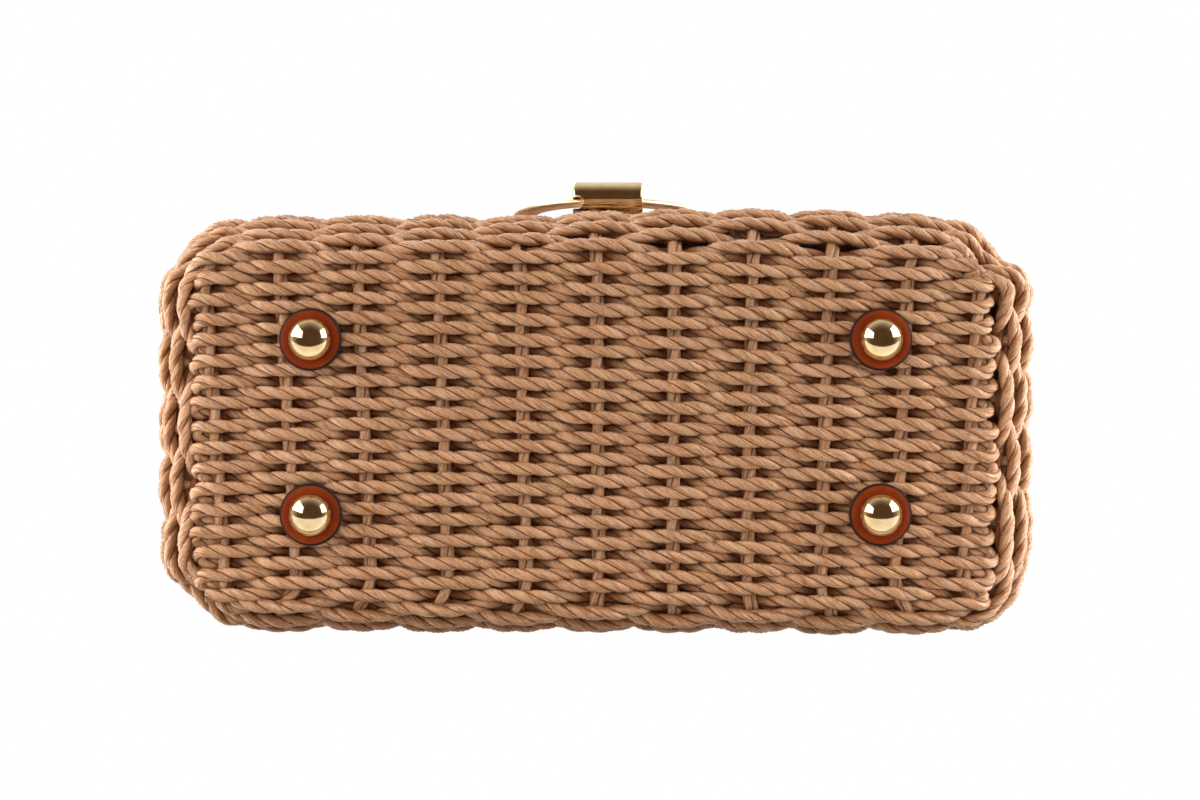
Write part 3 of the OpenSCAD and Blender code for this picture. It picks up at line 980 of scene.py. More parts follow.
@dataclass(frozen=True)
class Toe:
    """How the lowest rows turn in under each side: offset, rise and lean in degrees, row by row.

    The belly swells the front about a place, over half a width. The corners, front right, back right, back
    left and front left, draw in. Skew turns the front and back along the width.
    """

    front: tuple[tuple[float, float, float], ...] = ()
    back: tuple[tuple[float, float, float], ...] = ()
    side: tuple[tuple[float, float, float], ...] = ()
    belly: float = 3.9
    belly_at: tuple[float, float] = (38.0, 62.0)
    corners: tuple[float, float, float, float] = (7.8, 0.9, 5.9, 3.0)
    belly_rows: tuple[float, float] = (0.4, 2.4)
    skew: float = 0.0205
    skew_rows: float = 4.0

    def at(self, number: int, point: np.ndarray, normal: np.ndarray) -> np.ndarray:
        """Offset, rise and lean of one row at places on the outline with these normals.

        Args:
            number: The row's place from the lowest.
            point: Places on the outline.
            normal: Outward normals there.

        Returns:
            Three columns, a row for each place.
        """
        front, back = np.maximum(0.0, -normal[:, 1]) ** 2, np.maximum(0.0, normal[:, 1]) ** 2
        shares = np.column_stack([front, back, normal[:, 0] ** 2])
        sides = (self.front, self.back, self.side)
        rows = [side[number] if number < len(side) else (0.0, 0.0, 0.0) for side in sides]
        turn = shares @ np.array(rows)
        fade = max(0.0, 1.0 - number / len(self.front)) if self.front else 0.0
        middle, half = self.belly_at
        begun, full = self.belly_rows
        swell = self.belly * fade * min(1.0, (number + begun) / full)
        turn[:, 0] += swell * front * np.maximum(0.0, 1.0 - ((point[:, 0] - middle) / half) ** 2)
        lean = self.skew * point[:, 0] * max(0.0, 1.0 - number / self.skew_rows) * bool(self.front)
        turn[:, 0] += lean * np.where(point[:, 0] > 0, back - front, back)
        right, rear = normal[:, 0] > 0, normal[:, 1] > 0
        corner = np.select([right & ~rear, right, rear], self.corners[:3], self.corners[3])
        turn[:, 0] -= corner * fade * (2.0 * normal[:, 0] * normal[:, 1]) ** 2
        return turn


BODY_TOE = Toe(
    (
        (-5.1, 2.3, 60.0),
        (-3.2, 1.6, 46.0),
        (-1.6, 1.0, 32.0),
        (-0.1, 0.6, 20.0),
        (1.2, 0.3, 11.0),
        (2.1, 0.1, 5.0),
        (2.5, 0.0, 0.0),
        (2.2, 0.0, 0.0),
        (1.6, 0.0, 0.0),
        (1.0, 0.0, 0.0),
        (0.4, 0.0, 0.0),
    ),
    (
        (-3.6, 2.0, 52.0),
        (-1.5, 1.1, 32.0),
        (0.2, 0.4, 14.0),
        (1.3, 0.1, 5.0),
        (1.6, 0.0, 0.0),
        (1.4, 0.0, 0.0),
        (1.1, 0.0, 0.0),
        (0.8, 0.0, 0.0),
        (0.5, 0.0, 0.0),
        (0.2, 0.0, 0.0),
    ),
    (
        (-3.6, 1.9, 55.0),
        (-1.2, 0.9, 34.0),
        (1.3, 0.3, 14.0),
        (3.1, 0.0, 4.0),
        (3.8, 0.0, 0.0),
        (3.6, 0.0, 0.0),
        (3.0, 0.0, 0.0),
        (2.3, 0.0, 0.0),
        (1.6, 0.0, 0.0),
        (0.9, 0.0, 0.0),
        (0.4, 0.0, 0.0),
    ),
)


@dataclass
class Wall:
    """A woven wall: closed rows over and under upright stakes, with waled rows at its edges.

    It bows in the middle of its height and flares at its foot, and its upper rows are calmer. Stakes stand a
    bay apart at front and back, and at places of their own on the right and left.
    """

    seed: int
    low: float
    high: float
    bow: float
    flare: float
    wale_low: int
    wale_high: int
    wale_pitch: float = 4.2
    wale_stand: float = 1.2
    wale_rods: int = 3
    wale_turns: int = 10
    wale_points: int = 480
    wale_wave: Stray = Stray(0.12, 24.0)
    wale_seed: int = 500
    row_pitch: float = 2.9
    row_points: int = 720
    row_wave: Stray = Stray(0.22, 30.0)
    row_drift: Stray = Stray(0.22, 22.0)
    flare_height: float = 30.0
    calm: float = 0.22
    calm_from: int = 4
    calm_rows: float = 8.0
    toe: Toe = Toe()
    bay: float = 21.9
    across: int = 11
    right: tuple[float, ...] = (-37.5, -24.0, -8.0, 10.0, 27.0)
    left: tuple[float, ...] = (-33.7, -18.0, 0.5, 16.0, 33.4)
    stake_points: int = 24
    stake_gap: float = 2.0
    outline: Outline = field(default_factory=Outline)
    weave: Weave = field(default_factory=Weave)

    @property
    def plain(self) -> tuple[int, float, float]:
        """Number, lowest edge and pitch of the plain rows.

        Returns:
            The three values.
        """
        start = self.low + self.wale_low * self.wale_pitch
        length = self.high - self.wale_high * self.wale_pitch - start
        count = round(length / self.row_pitch)
        return count, start, length / count

    @property
    def marks(self) -> np.ndarray:
        """Distances of the stakes round the outline, from the middle of the front towards the right.

        Returns:
            One distance for each stake.
        """
        half = self.outline.perimeter / 2
        row = (np.arange(self.across) - self.across // 2) * self.bay
        front = row[self.across // 2 :]
        right = half / 2 + np.array(self.right)
        left = half * 1.5 - np.array(self.left[::-1])
        return np.concatenate([front, right, half + row, left, 2 * half + row[: self.across // 2]])

    def turns(self, s: np.ndarray) -> np.ndarray:
        """Place round the outline in stakes, so that whole numbers are stakes."""
        marks = np.append(self.marks, self.outline.perimeter)
        return np.interp(np.mod(s, self.outline.perimeter), marks, np.arange(len(marks)))

    def crest(self, z: np.ndarray) -> np.ndarray:
        """How far the face stands out from the outline at a height.

        Args:
            z: Heights.

        Returns:
            One offset for each height.
        """
        part = (z - self.low) / (self.high - self.low)
        flare = self.flare * np.maximum(0.0, 1.0 - (z - self.low) / self.flare_height) ** 2
        return flare + self.bow * np.sin(np.pi * np.clip(part, 0.0, 1.0)) ** 2

    def middle(self, z: np.ndarray) -> np.ndarray:
        """How far the stakes' middle line stands out from the outline at a height."""
        return self.crest(z) - self.weave.over - self.weave.radius

    def place(self, s: np.ndarray, out: np.ndarray, z: np.ndarray) -> np.ndarray:
        """Points at distances round the outline, offsets from it and heights."""
        point, normal = self.outline.at(s)
        return np.column_stack([point + normal * out[:, None], z])

    def row(self, number: int, rng: np.random.Generator, spacing: float) -> Strand:
        """Lays one plain row round the wall.

        Args:
            number: Its place from the lowest plain row.
            rng: The seeded source.
            spacing: Spacing of its points.

        Returns:
            The row.
        """
        count = self.row_points
        _, start, pitch = self.plain
        s = np.arange(count) * self.outline.perimeter / count
        z = start + (number + 0.5) * pitch + self.row_wave.along(rng, count, True)
        swing = self.weave.swing(self.turns(s) + number)
        calm = 1.0 - self.calm * min(1.0, max(0.0, (number - self.calm_from) / self.calm_rows))
        height = self.weave.height(swing) * calm
        point, normal = self.outline.at(s)
        shift, rise, lean = self.toe.at(number, point, normal).T
        tip = np.radians(lean)
        out = self.middle(z) + shift + height * np.cos(tip) + self.row_drift.along(rng, count, True)
        z = z + rise - height * np.sin(tip)
        # Painted shade where the row dives.
        shade = self.weave.depth_shade(swing)
        outward = np.column_stack([normal * np.cos(tip)[:, None], -np.sin(tip)])
        path = resample(np.column_stack([self.place(s, out, z), shade, outward]), spacing, True)
        return Strand(path[:, :3], True, rng.uniform(), rng.uniform(0.0, math.pi), path[:, 3], path[:, 4:])

    def wale(self, z: float, number: int, rng: np.random.Generator, spacing: float) -> list[Strand]:
        """Lays one waled row: three rods that each pass over two stakes and under one.

        Args:
            z: Its height.
            number: Its place, which sets where its rods dip.
            rng: The seeded source.
            spacing: Spacing of its points.

        Returns:
            The three rods.
        """
        rods = []
        count = self.wale_points
        s = np.arange(count) * self.outline.perimeter / count
        normal = self.outline.at(s)[1]
        depth = self.wale_stand - self.weave.radius - self.weave.wale_out
        for rod in range(self.wale_rods):
            share = (rod + number * 0.5) / self.wale_rods
            angle = 2 * np.pi * (s / self.outline.perimeter * self.wale_turns + share)
            rise = z + self.weave.wale_rise * np.sin(angle) + self.wale_wave.along(rng, count, True)
            out = self.crest(rise) + depth + self.weave.wale_out * np.cos(angle)
            path = np.column_stack([self.place(s, out, rise), normal, np.zeros(count)])
            path = resample(path, spacing, True)
            tone, phase = rng.uniform(), rng.uniform(0.0, math.pi)
            rods.append(Strand(path[:, :3], True, tone, phase, 0.0, path[:, 3:]))
        return rods

    def plain_strands(self, first: int, last: int, spacing: float) -> list[Strand]:
        """Lays plain rows first to last - 1."""
        rng = np.random.default_rng(self.seed + first)
        return [self.row(number, rng, spacing) for number in range(first, last)]

    def wale_strands(self, spacing: float) -> list[Strand]:
        """Lays the waled rows of both edges.

        Args:
            spacing: Spacing of their points.

        Returns:
            The rods, row after row.
        """
        rng = np.random.default_rng(self.seed + self.wale_seed)
        heights = [self.low + (k + 0.5) * self.wale_pitch for k in range(self.wale_low)]
        heights += [self.high - (k + 0.5) * self.wale_pitch for k in range(self.wale_high)]
        return [rod for k, z in enumerate(heights) for rod in self.wale(z, k, rng, spacing)]

    def upright(self, number: int, edge: float, tip: float) -> np.ndarray:
        """Path of one stake from the flat mat's edge to its tip, round the toe if the wall has one.

        Args:
            number: The stake's number from the middle of the front.
            edge: Height at which it leaves the mat, if there is no toe.
            tip: Height of its end.

        Returns:
            Points and outward directions, six columns.
        """
        place = self.marks[[number % len(self.marks)]]
        point, normal = self.outline.at(place)
        _, start, pitch = self.plain
        path = []
        for row in range(len(self.toe.front)):
            z = np.array([start + (row + 0.5) * pitch])
            shift, rise, lean = self.toe.at(row, point, normal)[0]
            tip_over = math.radians(lean)
            out = [*(normal[0] * math.cos(tip_over)), -math.sin(tip_over)]
            path.append(np.append(self.place(place, self.middle(z) + shift, z + rise), [out], axis=1))
        foot = path[-1][0, 2] + self.stake_gap if path else edge
        z = np.linspace(foot, tip, self.stake_points)
        up = self.place(np.full(len(z), place[0]), self.middle(z), z)
        path.append(np.column_stack([up, np.tile([*normal[0], 0.0], (len(z), 1))]))
        return np.vstack(path)


def soften(path: np.ndarray, passes: int) -> np.ndarray:
    """Rounds the corners of an open path by averaging neighbours.

    Args:
        path: Points, in rows.
        passes: How often to average.

    Returns:
        The rounded path.
    """
    path = path.copy()
    for _ in range(passes):
        path[1:-1] = (path[:-2] + 2.0 * path[1:-1] + path[2:]) / 4.0
    return path


@dataclass
class Stakes:
    """Stakes that cross a flat mat and turn into the walls at front and back, and those of the sides.

    They leave the mat at the height of edge and end at tip. Side stakes start on the inside of the mat.
    """

    mat: Mat
    wall: Wall
    seed: int
    edge: float
    tip: float
    spacing: float = 1.5
    flat: tuple[float, float] = (46.0, -45.0)
    flat_points: int = 30
    side_at: float = 110.0
    side_depth: float = 4.6
    rounding: int = 8
    # Painted shade of the stakes where they show between the rows.
    shade: float = 0.15

    def strands(self) -> list[Strand]:
        """Lays every stake.

        Returns:
            The stakes of the mat from left to right, then those of the sides.
        """
        rng = np.random.default_rng(self.seed)
        half, count = len(self.mat.stakes) // 2, len(self.wall.marks)
        facing = [0.0, 0.0, self.mat.facing]
        y = np.linspace(*self.flat, self.flat_points)
        level = np.full(len(y), self.mat.middle)
        paths = []
        for k in range(-half, half + 1):
            back = self.wall.upright(count // 2 - k, self.edge, self.tip)[::-1]
            front = self.wall.upright(k, self.edge, self.tip)
            x = [self.mat.stakes_at(q)[k + half] for q in y]
            flat = np.column_stack([x, y, level, np.tile(facing, (len(y), 1))])
            paths.append(np.vstack([back, flat, front]))
        for number in self._sides(half):
            up = self.wall.upright(number, self.edge, self.tip)
            x = math.copysign(self.side_at, up[0, 0])
            inner = self.mat.middle - self.mat.facing * self.side_depth
            paths.append(np.vstack([[x, up[0, 1], inner, *facing], up[1:]]))
        strands = []
        for path in paths:
            even = soften(resample(path, self.spacing, False), self.rounding)
            tone, phase = rng.uniform(), rng.uniform(0.0, math.pi)
            strands.append(Strand(even[:, :3], False, tone, phase, self.shade, even[:, 3:]))
        return strands

    def _sides(self, half: int) -> list[int]:
        """Numbers of the stakes that stand only in the side walls."""
        count = len(self.wall.marks)
        return [*range(half + 1, count // 2 - half), *range(count // 2 + half + 1, count - half)]


Batch = tuple[str, list[Strand], int, float, list[str]]


def spin_all(loom: Loom, body: Body, radius: float, batches: Iterable[Batch]) -> None:
    """Spins batches of strands into pieces of cord and hands them over.

    Args:
        loom: The loom.
        body: The body that the pieces ride on.
        radius: Radius of the cord.
        batches: For each piece its name, strands, points round the cord, lay and replaced nodes.
    """
    for name, strands, sides, lay, nodes in batches:
        hand_over(loom.spin(name, strands, radius, lay, sides), body, Slot.CORD, nodes)


BASE_MAT = Mat(
    seed=11,
    crest=7.0,
    facing=-1.0,
    stakes=BASE_STAKES,
    ends=(108.0, 106.7),
    shift=0.5,
    start=1,
    splay=1.0,
    sway=BASE_SWAY,
)
BODY_WALL = Wall(seed=23, low=8.0, high=122.0, bow=6.0, flare=3.0, wale_low=0, wale_high=3, toe=BODY_TOE)
LID_MAT = Mat(seed=47, crest=160.3, facing=1.0, stakes=LID_STAKES, spacing=1.6)
LID_WALL = Wall(seed=59, low=122.3, high=160.3, bow=0.0, flare=0.0, wale_low=2, wale_high=3)


@dataclass
class Basket:
    """The woven body: base mat, walls and stakes, with finer cord where the underside shows it."""

    stakes: Stakes = field(default_factory=lambda: Stakes(BASE_MAT, BODY_WALL, seed=31, edge=14.0, tip=119.0))
    fine_rows: int = 6
    fine_step: float = 1.35
    fine_sides: int = 12
    step: float = 1.8
    sides: int = 10

    def build(self, loom: Loom) -> None:
        """Weaves the body and hands it over.

        Args:
            loom: Spins the cord.
        """
        mat, wall = self.stakes.mat, self.stakes.wall
        weave, fine, sides, nodes = mat.weave, self.fine_sides, self.sides, ["basket_wall"]
        count = wall.plain[0]
        half = (self.fine_rows + count) // 2
        foot = wall.plain_strands(0, self.fine_rows, self.fine_step)
        middle = wall.plain_strands(self.fine_rows, half, self.step)
        upper = wall.plain_strands(half, count, self.step)
        batches = [
            ("base_weaver", [mat.weaver()], fine, weave.lay, ["basket_base"]),
            ("basket_stakes", self.stakes.strands(), sides, weave.stake_lay, []),
            ("wall_rows_foot", foot, fine, weave.lay, nodes),
            ("wall_rows_middle", middle, sides, weave.lay, nodes),
            ("wall_rows_upper", upper, sides, weave.lay, nodes),
            ("basket_rim", wall.wale_strands(self.step), sides, weave.lay, nodes),
        ]
        spin_all(loom, Body.BASKET, weave.radius, batches)


@dataclass
class Lid:
    """The woven lid: top mat, walls and stakes."""

    stakes: Stakes = field(default_factory=lambda: Stakes(LID_MAT, LID_WALL, seed=67, edge=153.0, tip=125.0))
    step: float = 1.8
    sides: int = 10

    def build(self, loom: Loom) -> None:
        """Weaves the lid and hands it over.

        Args:
            loom: Spins the cord.
        """
        mat, wall = self.stakes.mat, self.stakes.wall
        weave, sides, nodes = mat.weave, self.sides, ["lid_wall"]
        rows = wall.plain_strands(0, wall.plain[0], self.step)
        batches = [
            ("lid_weaver", [mat.weaver()], sides, weave.lay, ["lid_top"]),
            ("lid_stakes", self.stakes.strands(), sides, weave.stake_lay, []),
            ("lid_rows", rows, sides, weave.lay, nodes),
            ("lid_edges", wall.wale_strands(self.step), sides, weave.lay, nodes),
        ]
        spin_all(loom, Body.LID, weave.radius, batches)


def mesh_piece(
    name: str,
    points: np.ndarray,
    faces: Sequence[Sequence[int]],
    material: bpy.types.Material,
    edge: np.ndarray | None = None,
) -> bpy.types.Object:
    """Makes a smooth mesh object.

    Args:
        name: The piece's name.
        points: Its vertices in millimetres.
        faces: Its faces.
        material: Its finish.
        edge: For leather, 1 where the cut edge is painted, for each vertex.

    Returns:
        The piece.
    """
    mesh = bpy.data.meshes.new(name)
    mesh.from_pydata((points * MM).tolist(), [], [list(f) for f in faces])
    mesh.materials.append(material)
    if edge is not None:
        layer = mesh.attributes.new("edge", "FLOAT", "POINT")
        layer.data.foreach_set("value", edge.astype(np.float32))
    face_outward(mesh)
    mesh.polygons.foreach_set("use_smooth", np.ones(len(mesh.polygons), dtype=bool))
    mesh.update()
    return add_object(name, mesh)


def face_outward(mesh: bpy.types.Mesh) -> None:
    """Turns every face of closed shells outward.

    Args:
        mesh: The shells.
    """
    work = bmesh.new()
    work.from_mesh(mesh)
    bmesh.ops.recalc_face_normals(work, faces=work.faces)
    work.to_mesh(mesh)
    work.free()


def join_shells(shells: Sequence[tuple[np.ndarray, list]]) -> tuple[np.ndarray, list]:
    """Puts several shells into one set of vertices and faces.

    Args:
        shells: Vertices and faces of each shell.

    Returns:
        Vertices and faces.
    """
    points, faces, start = [], [], 0
    for shell_points, shell_faces in shells:
        points.append(shell_points)
        faces += [[start + k for k in f] for f in shell_faces]
        start += len(shell_points)
    return np.vstack(points), faces


def grid_faces(rows: int, columns: int) -> list[list[int]]:
    """Faces of a closed skin over rows of points.

    Args:
        rows: Number of rings.
        columns: Points on each ring.

    Returns:
        The faces, with one over each end.
    """
    faces = []
    for i in range(rows - 1):
        a, b = i * columns, (i + 1) * columns
        faces += [[a + j, a + (j + 1) % columns, b + (j + 1) % columns, b + j] for j in range(columns)]
    faces.append(list(range(columns))[::-1])
    faces.append([(rows - 1) * columns + j for j in range(columns)])
    return faces


def round_angles(count: int) -> np.ndarray:
    """Angles of evenly spaced points round a circle."""
    return np.linspace(0.0, 2 * np.pi, count, endpoint=False)


def lathe(
    profile: Sequence[tuple[float, float]], centre: Sequence[float], sides: int
) -> tuple[np.ndarray, list]:
    """Turns a profile of radius and height round an upright axis.

    Args:
        profile: Radius and height, from the lower pole up the outside.
        centre: Place of the axis.
        sides: Points on each ring.

    Returns:
        Vertices and faces.
    """
    angle = round_angles(sides)
    x, y, base = centre
    rings = [
        np.column_stack([r * np.cos(angle) + x, r * np.sin(angle) + y, np.full(sides, z + base)])
        for r, z in profile
    ]
    return np.vstack(rings), grid_faces(len(profile), sides)


# Width of the paint on the rim of a leather disc, and how far it fades.
RIM_PAINT = 0.75
RIM_FADE = 0.3


def leather_disc(
    name: str,
    profile: Sequence[tuple[float, float]],
    centre: Sequence[float],
    sides: int,
    palette: Palette,
) -> bpy.types.Object:
    """Makes a leather disc with a painted rim.

    Args:
        name: The piece's name.
        profile: Radius and height, from the lower pole up the outside.
        centre: Place of the axis.
        sides: Points on each ring.
        palette: The materials.

    Returns:
        The piece.
    """
    points, faces = lathe(profile, centre, sides)
    rim = max(radius for radius, _ in profile)
    radii = np.linalg.norm(points[:, :2] - np.array(centre[:2]), axis=1)
    edge = np.clip((radii - rim + RIM_PAINT) / RIM_FADE, 0.0, 1.0)
    return mesh_piece(name, points, faces, palette.leather, edge)


def rounded_section(width: float, height: float, radius: float, steps: int = 5) -> np.ndarray:
    """Points of a rounded rectangle, anticlockwise, centred.

    Args:
        width: Size along the first axis.
        height: Size along the second axis.
        radius: Radius of the corners.
        steps: Points on each corner.

    Returns:
        The points, two columns.
    """
    points = []
    for k, (sx, sy) in enumerate([(1, 1), (-1, 1), (-1, -1), (1, -1)]):
        cx, cy = sx * (width / 2 - radius), sy * (height / 2 - radius)
        for a in np.linspace(k * np.pi / 2, (k + 1) * np.pi / 2, steps):
            points.append((cx + radius * math.cos(a), cy + radius * math.sin(a)))
    return np.array(points)


def along_axis(axis: int, count: int) -> np.ndarray:
    """Unit vectors along one axis, in rows."""
    return np.tile(np.eye(3)[axis], (count, 1))


def sweep(
    path: np.ndarray,
    side: np.ndarray,
    up: np.ndarray,
    section: np.ndarray,
    scale: np.ndarray | None = None,
) -> tuple[np.ndarray, list]:
    """Carries a section along a path.

    Args:
        path: Points of the path.
        side: Direction of the section's first axis at each point.
        up: Direction of its second axis at each point.
        section: Points of the section.
        scale: Size of the section at each point, for both axes.

    Returns:
        Vertices and faces.
    """
    scale = np.ones((len(path), 2)) if scale is None else scale
    u = section[None, :, 0] * scale[:, :1]
    v = section[None, :, 1] * scale[:, 1:]
    points = path[:, None, :] + side[:, None, :] * u[:, :, None] + up[:, None, :] * v[:, :, None]
    return points.reshape(-1, 3), grid_faces(len(path), len(section))


def ahead_of(path: np.ndarray) -> np.ndarray:
    """Unit directions along a path."""
    ahead = np.gradient(path, axis=0)
    return ahead / np.linalg.norm(ahead, axis=1)[:, None]


@dataclass
class Feet:
    """Four domed feet on leather washers."""

    places: tuple[tuple[str, float, float], ...] = (
        ("front_left", -78.0, -24.0),
        ("front_right", 78.0, -24.0),
        ("back_left", -78.0, 24.0),
        ("back_right", 78.0, 24.0),
    )
    dome_radius: float = 6.0
    dome_height: float = 5.2
    lip: float = 0.5
    shank: float = 1.6
    shank_length: float = 10.0
    bore: float = 1.7
    washer_radius: float = 8.6
    washer: float = 1.8
    sides: int = 72

    def build(self, palette: Palette) -> None:
        """Makes the feet and hands them over.

        Args:
            palette: The materials.
        """
        for name, x, y in self.places:
            points, faces = lathe(self._dome(), (x, y, 0.0), self.sides)
            dome = mesh_piece("dome_" + name, points, faces, palette.gold)
            hand_over(dome, Body.BASKET, Slot.GOLD, ["foot_" + name])
            seat = (x, y, self.dome_height)
            washer = leather_disc("washer_" + name, self._washer(), seat, self.sides, palette)
            hand_over(washer, Body.BASKET, Slot.LEATHER, ["foot_washer_" + name])

    def _dome(self) -> list[tuple[float, float]]:
        """Profile of a dome with a fine lip and its shank.

        Returns:
            Radius and height, from the lower pole up the outside.
        """
        radius, top = self.dome_radius, self.dome_height
        turn = np.linspace(0.02, math.pi / 2, 22)
        cap = [(radius * math.sin(a), (top - self.lip) * (1 - math.cos(a))) for a in turn]
        lip = [(radius, top - 0.3), (radius - 0.08, top)]
        return [*cap, *lip, (self.shank, top + 0.05), (self.shank, top + self.shank_length)]

    def _washer(self) -> list[tuple[float, float]]:
        """Profile of a washer, pressed in a little under the dome.

        Returns:
            Radius and height, from the lower pole up the outside.
        """
        r, t = self.washer_radius, self.washer
        return [
            (self.bore, 0.12),
            (self.dome_radius - 0.1, 0.1),
            (self.dome_radius + 0.5, 0.02),
            (self.dome_radius + 1.3, 0.0),
            (r - 0.9, 0.05),
            (r - 0.45, 0.14),
            (r - 0.14, 0.42),
            (r, 0.85),
            (r, t - 0.5),
            (r - 0.2, t - 0.1),
            (r - 0.6, t),
            (self.bore, t),
        ]


@dataclass(frozen=True)
class Stitch:
    """A row of stitches: pitch, length of one stitch and radius of the thread."""

    pitch: float
    length: float
    thread: float


class Stitcher(StrandTool):
    """Sews rows of stitches along lines."""

    title = "stitch_row"
    inputs = {"Pitch": "Float", "Length": "Float", "Thread": "Float"}

    def shape(self, g: Graph, curve: Sock, given: dict[str, Sock]) -> Sock:
        """Lays one slim stitch at every pitch.

        Args:
            g: The tree.
            curve: The strands as curves.
            given: The tree's inputs by name.

        Returns:
            The stitches.
        """
        every = {"Curve": curve, "Length": given["Pitch"]}
        points = g.add("GeometryNodeCurveToPoints", {"mode": "LENGTH"}, every)
        turn = g.add("FunctionNodeAlignRotationToVector", {"axis": "Z"}, {"Vector": points.also("Tangent")})
        stitch = g.add("GeometryNodeMeshUVSphere", None, {"Segments": 8, "Rings": 5, "Radius": 1.0})
        thread, half = given["Thread"], given["Length"] * 0.5
        size = g.add("ShaderNodeCombineXYZ", None, {0: thread, 1: thread, 2: half})
        laid = {"Points": points, "Instance": stitch, "Rotation": turn, "Scale": size}
        return g.add("GeometryNodeInstanceOnPoints", None, laid)

    def sew(self, name: str, seams: Sequence[np.ndarray], stitch: Stitch) -> bpy.types.Object:
        """Sews stitches along seams.

        Args:
            name: The piece's name.
            seams: Lines in millimetres.
            stitch: Sizes of the stitches.

        Returns:
            The piece, a plain mesh.
        """
        strands = [Strand(resample(seam, 0.5, False), False, 0.0, 0.0) for seam in seams]
        sizes = {"Pitch": stitch.pitch, "Length": stitch.length, "Thread": stitch.thread}
        return self.make(name, strands, {key: size * MM for key, size in sizes.items()})


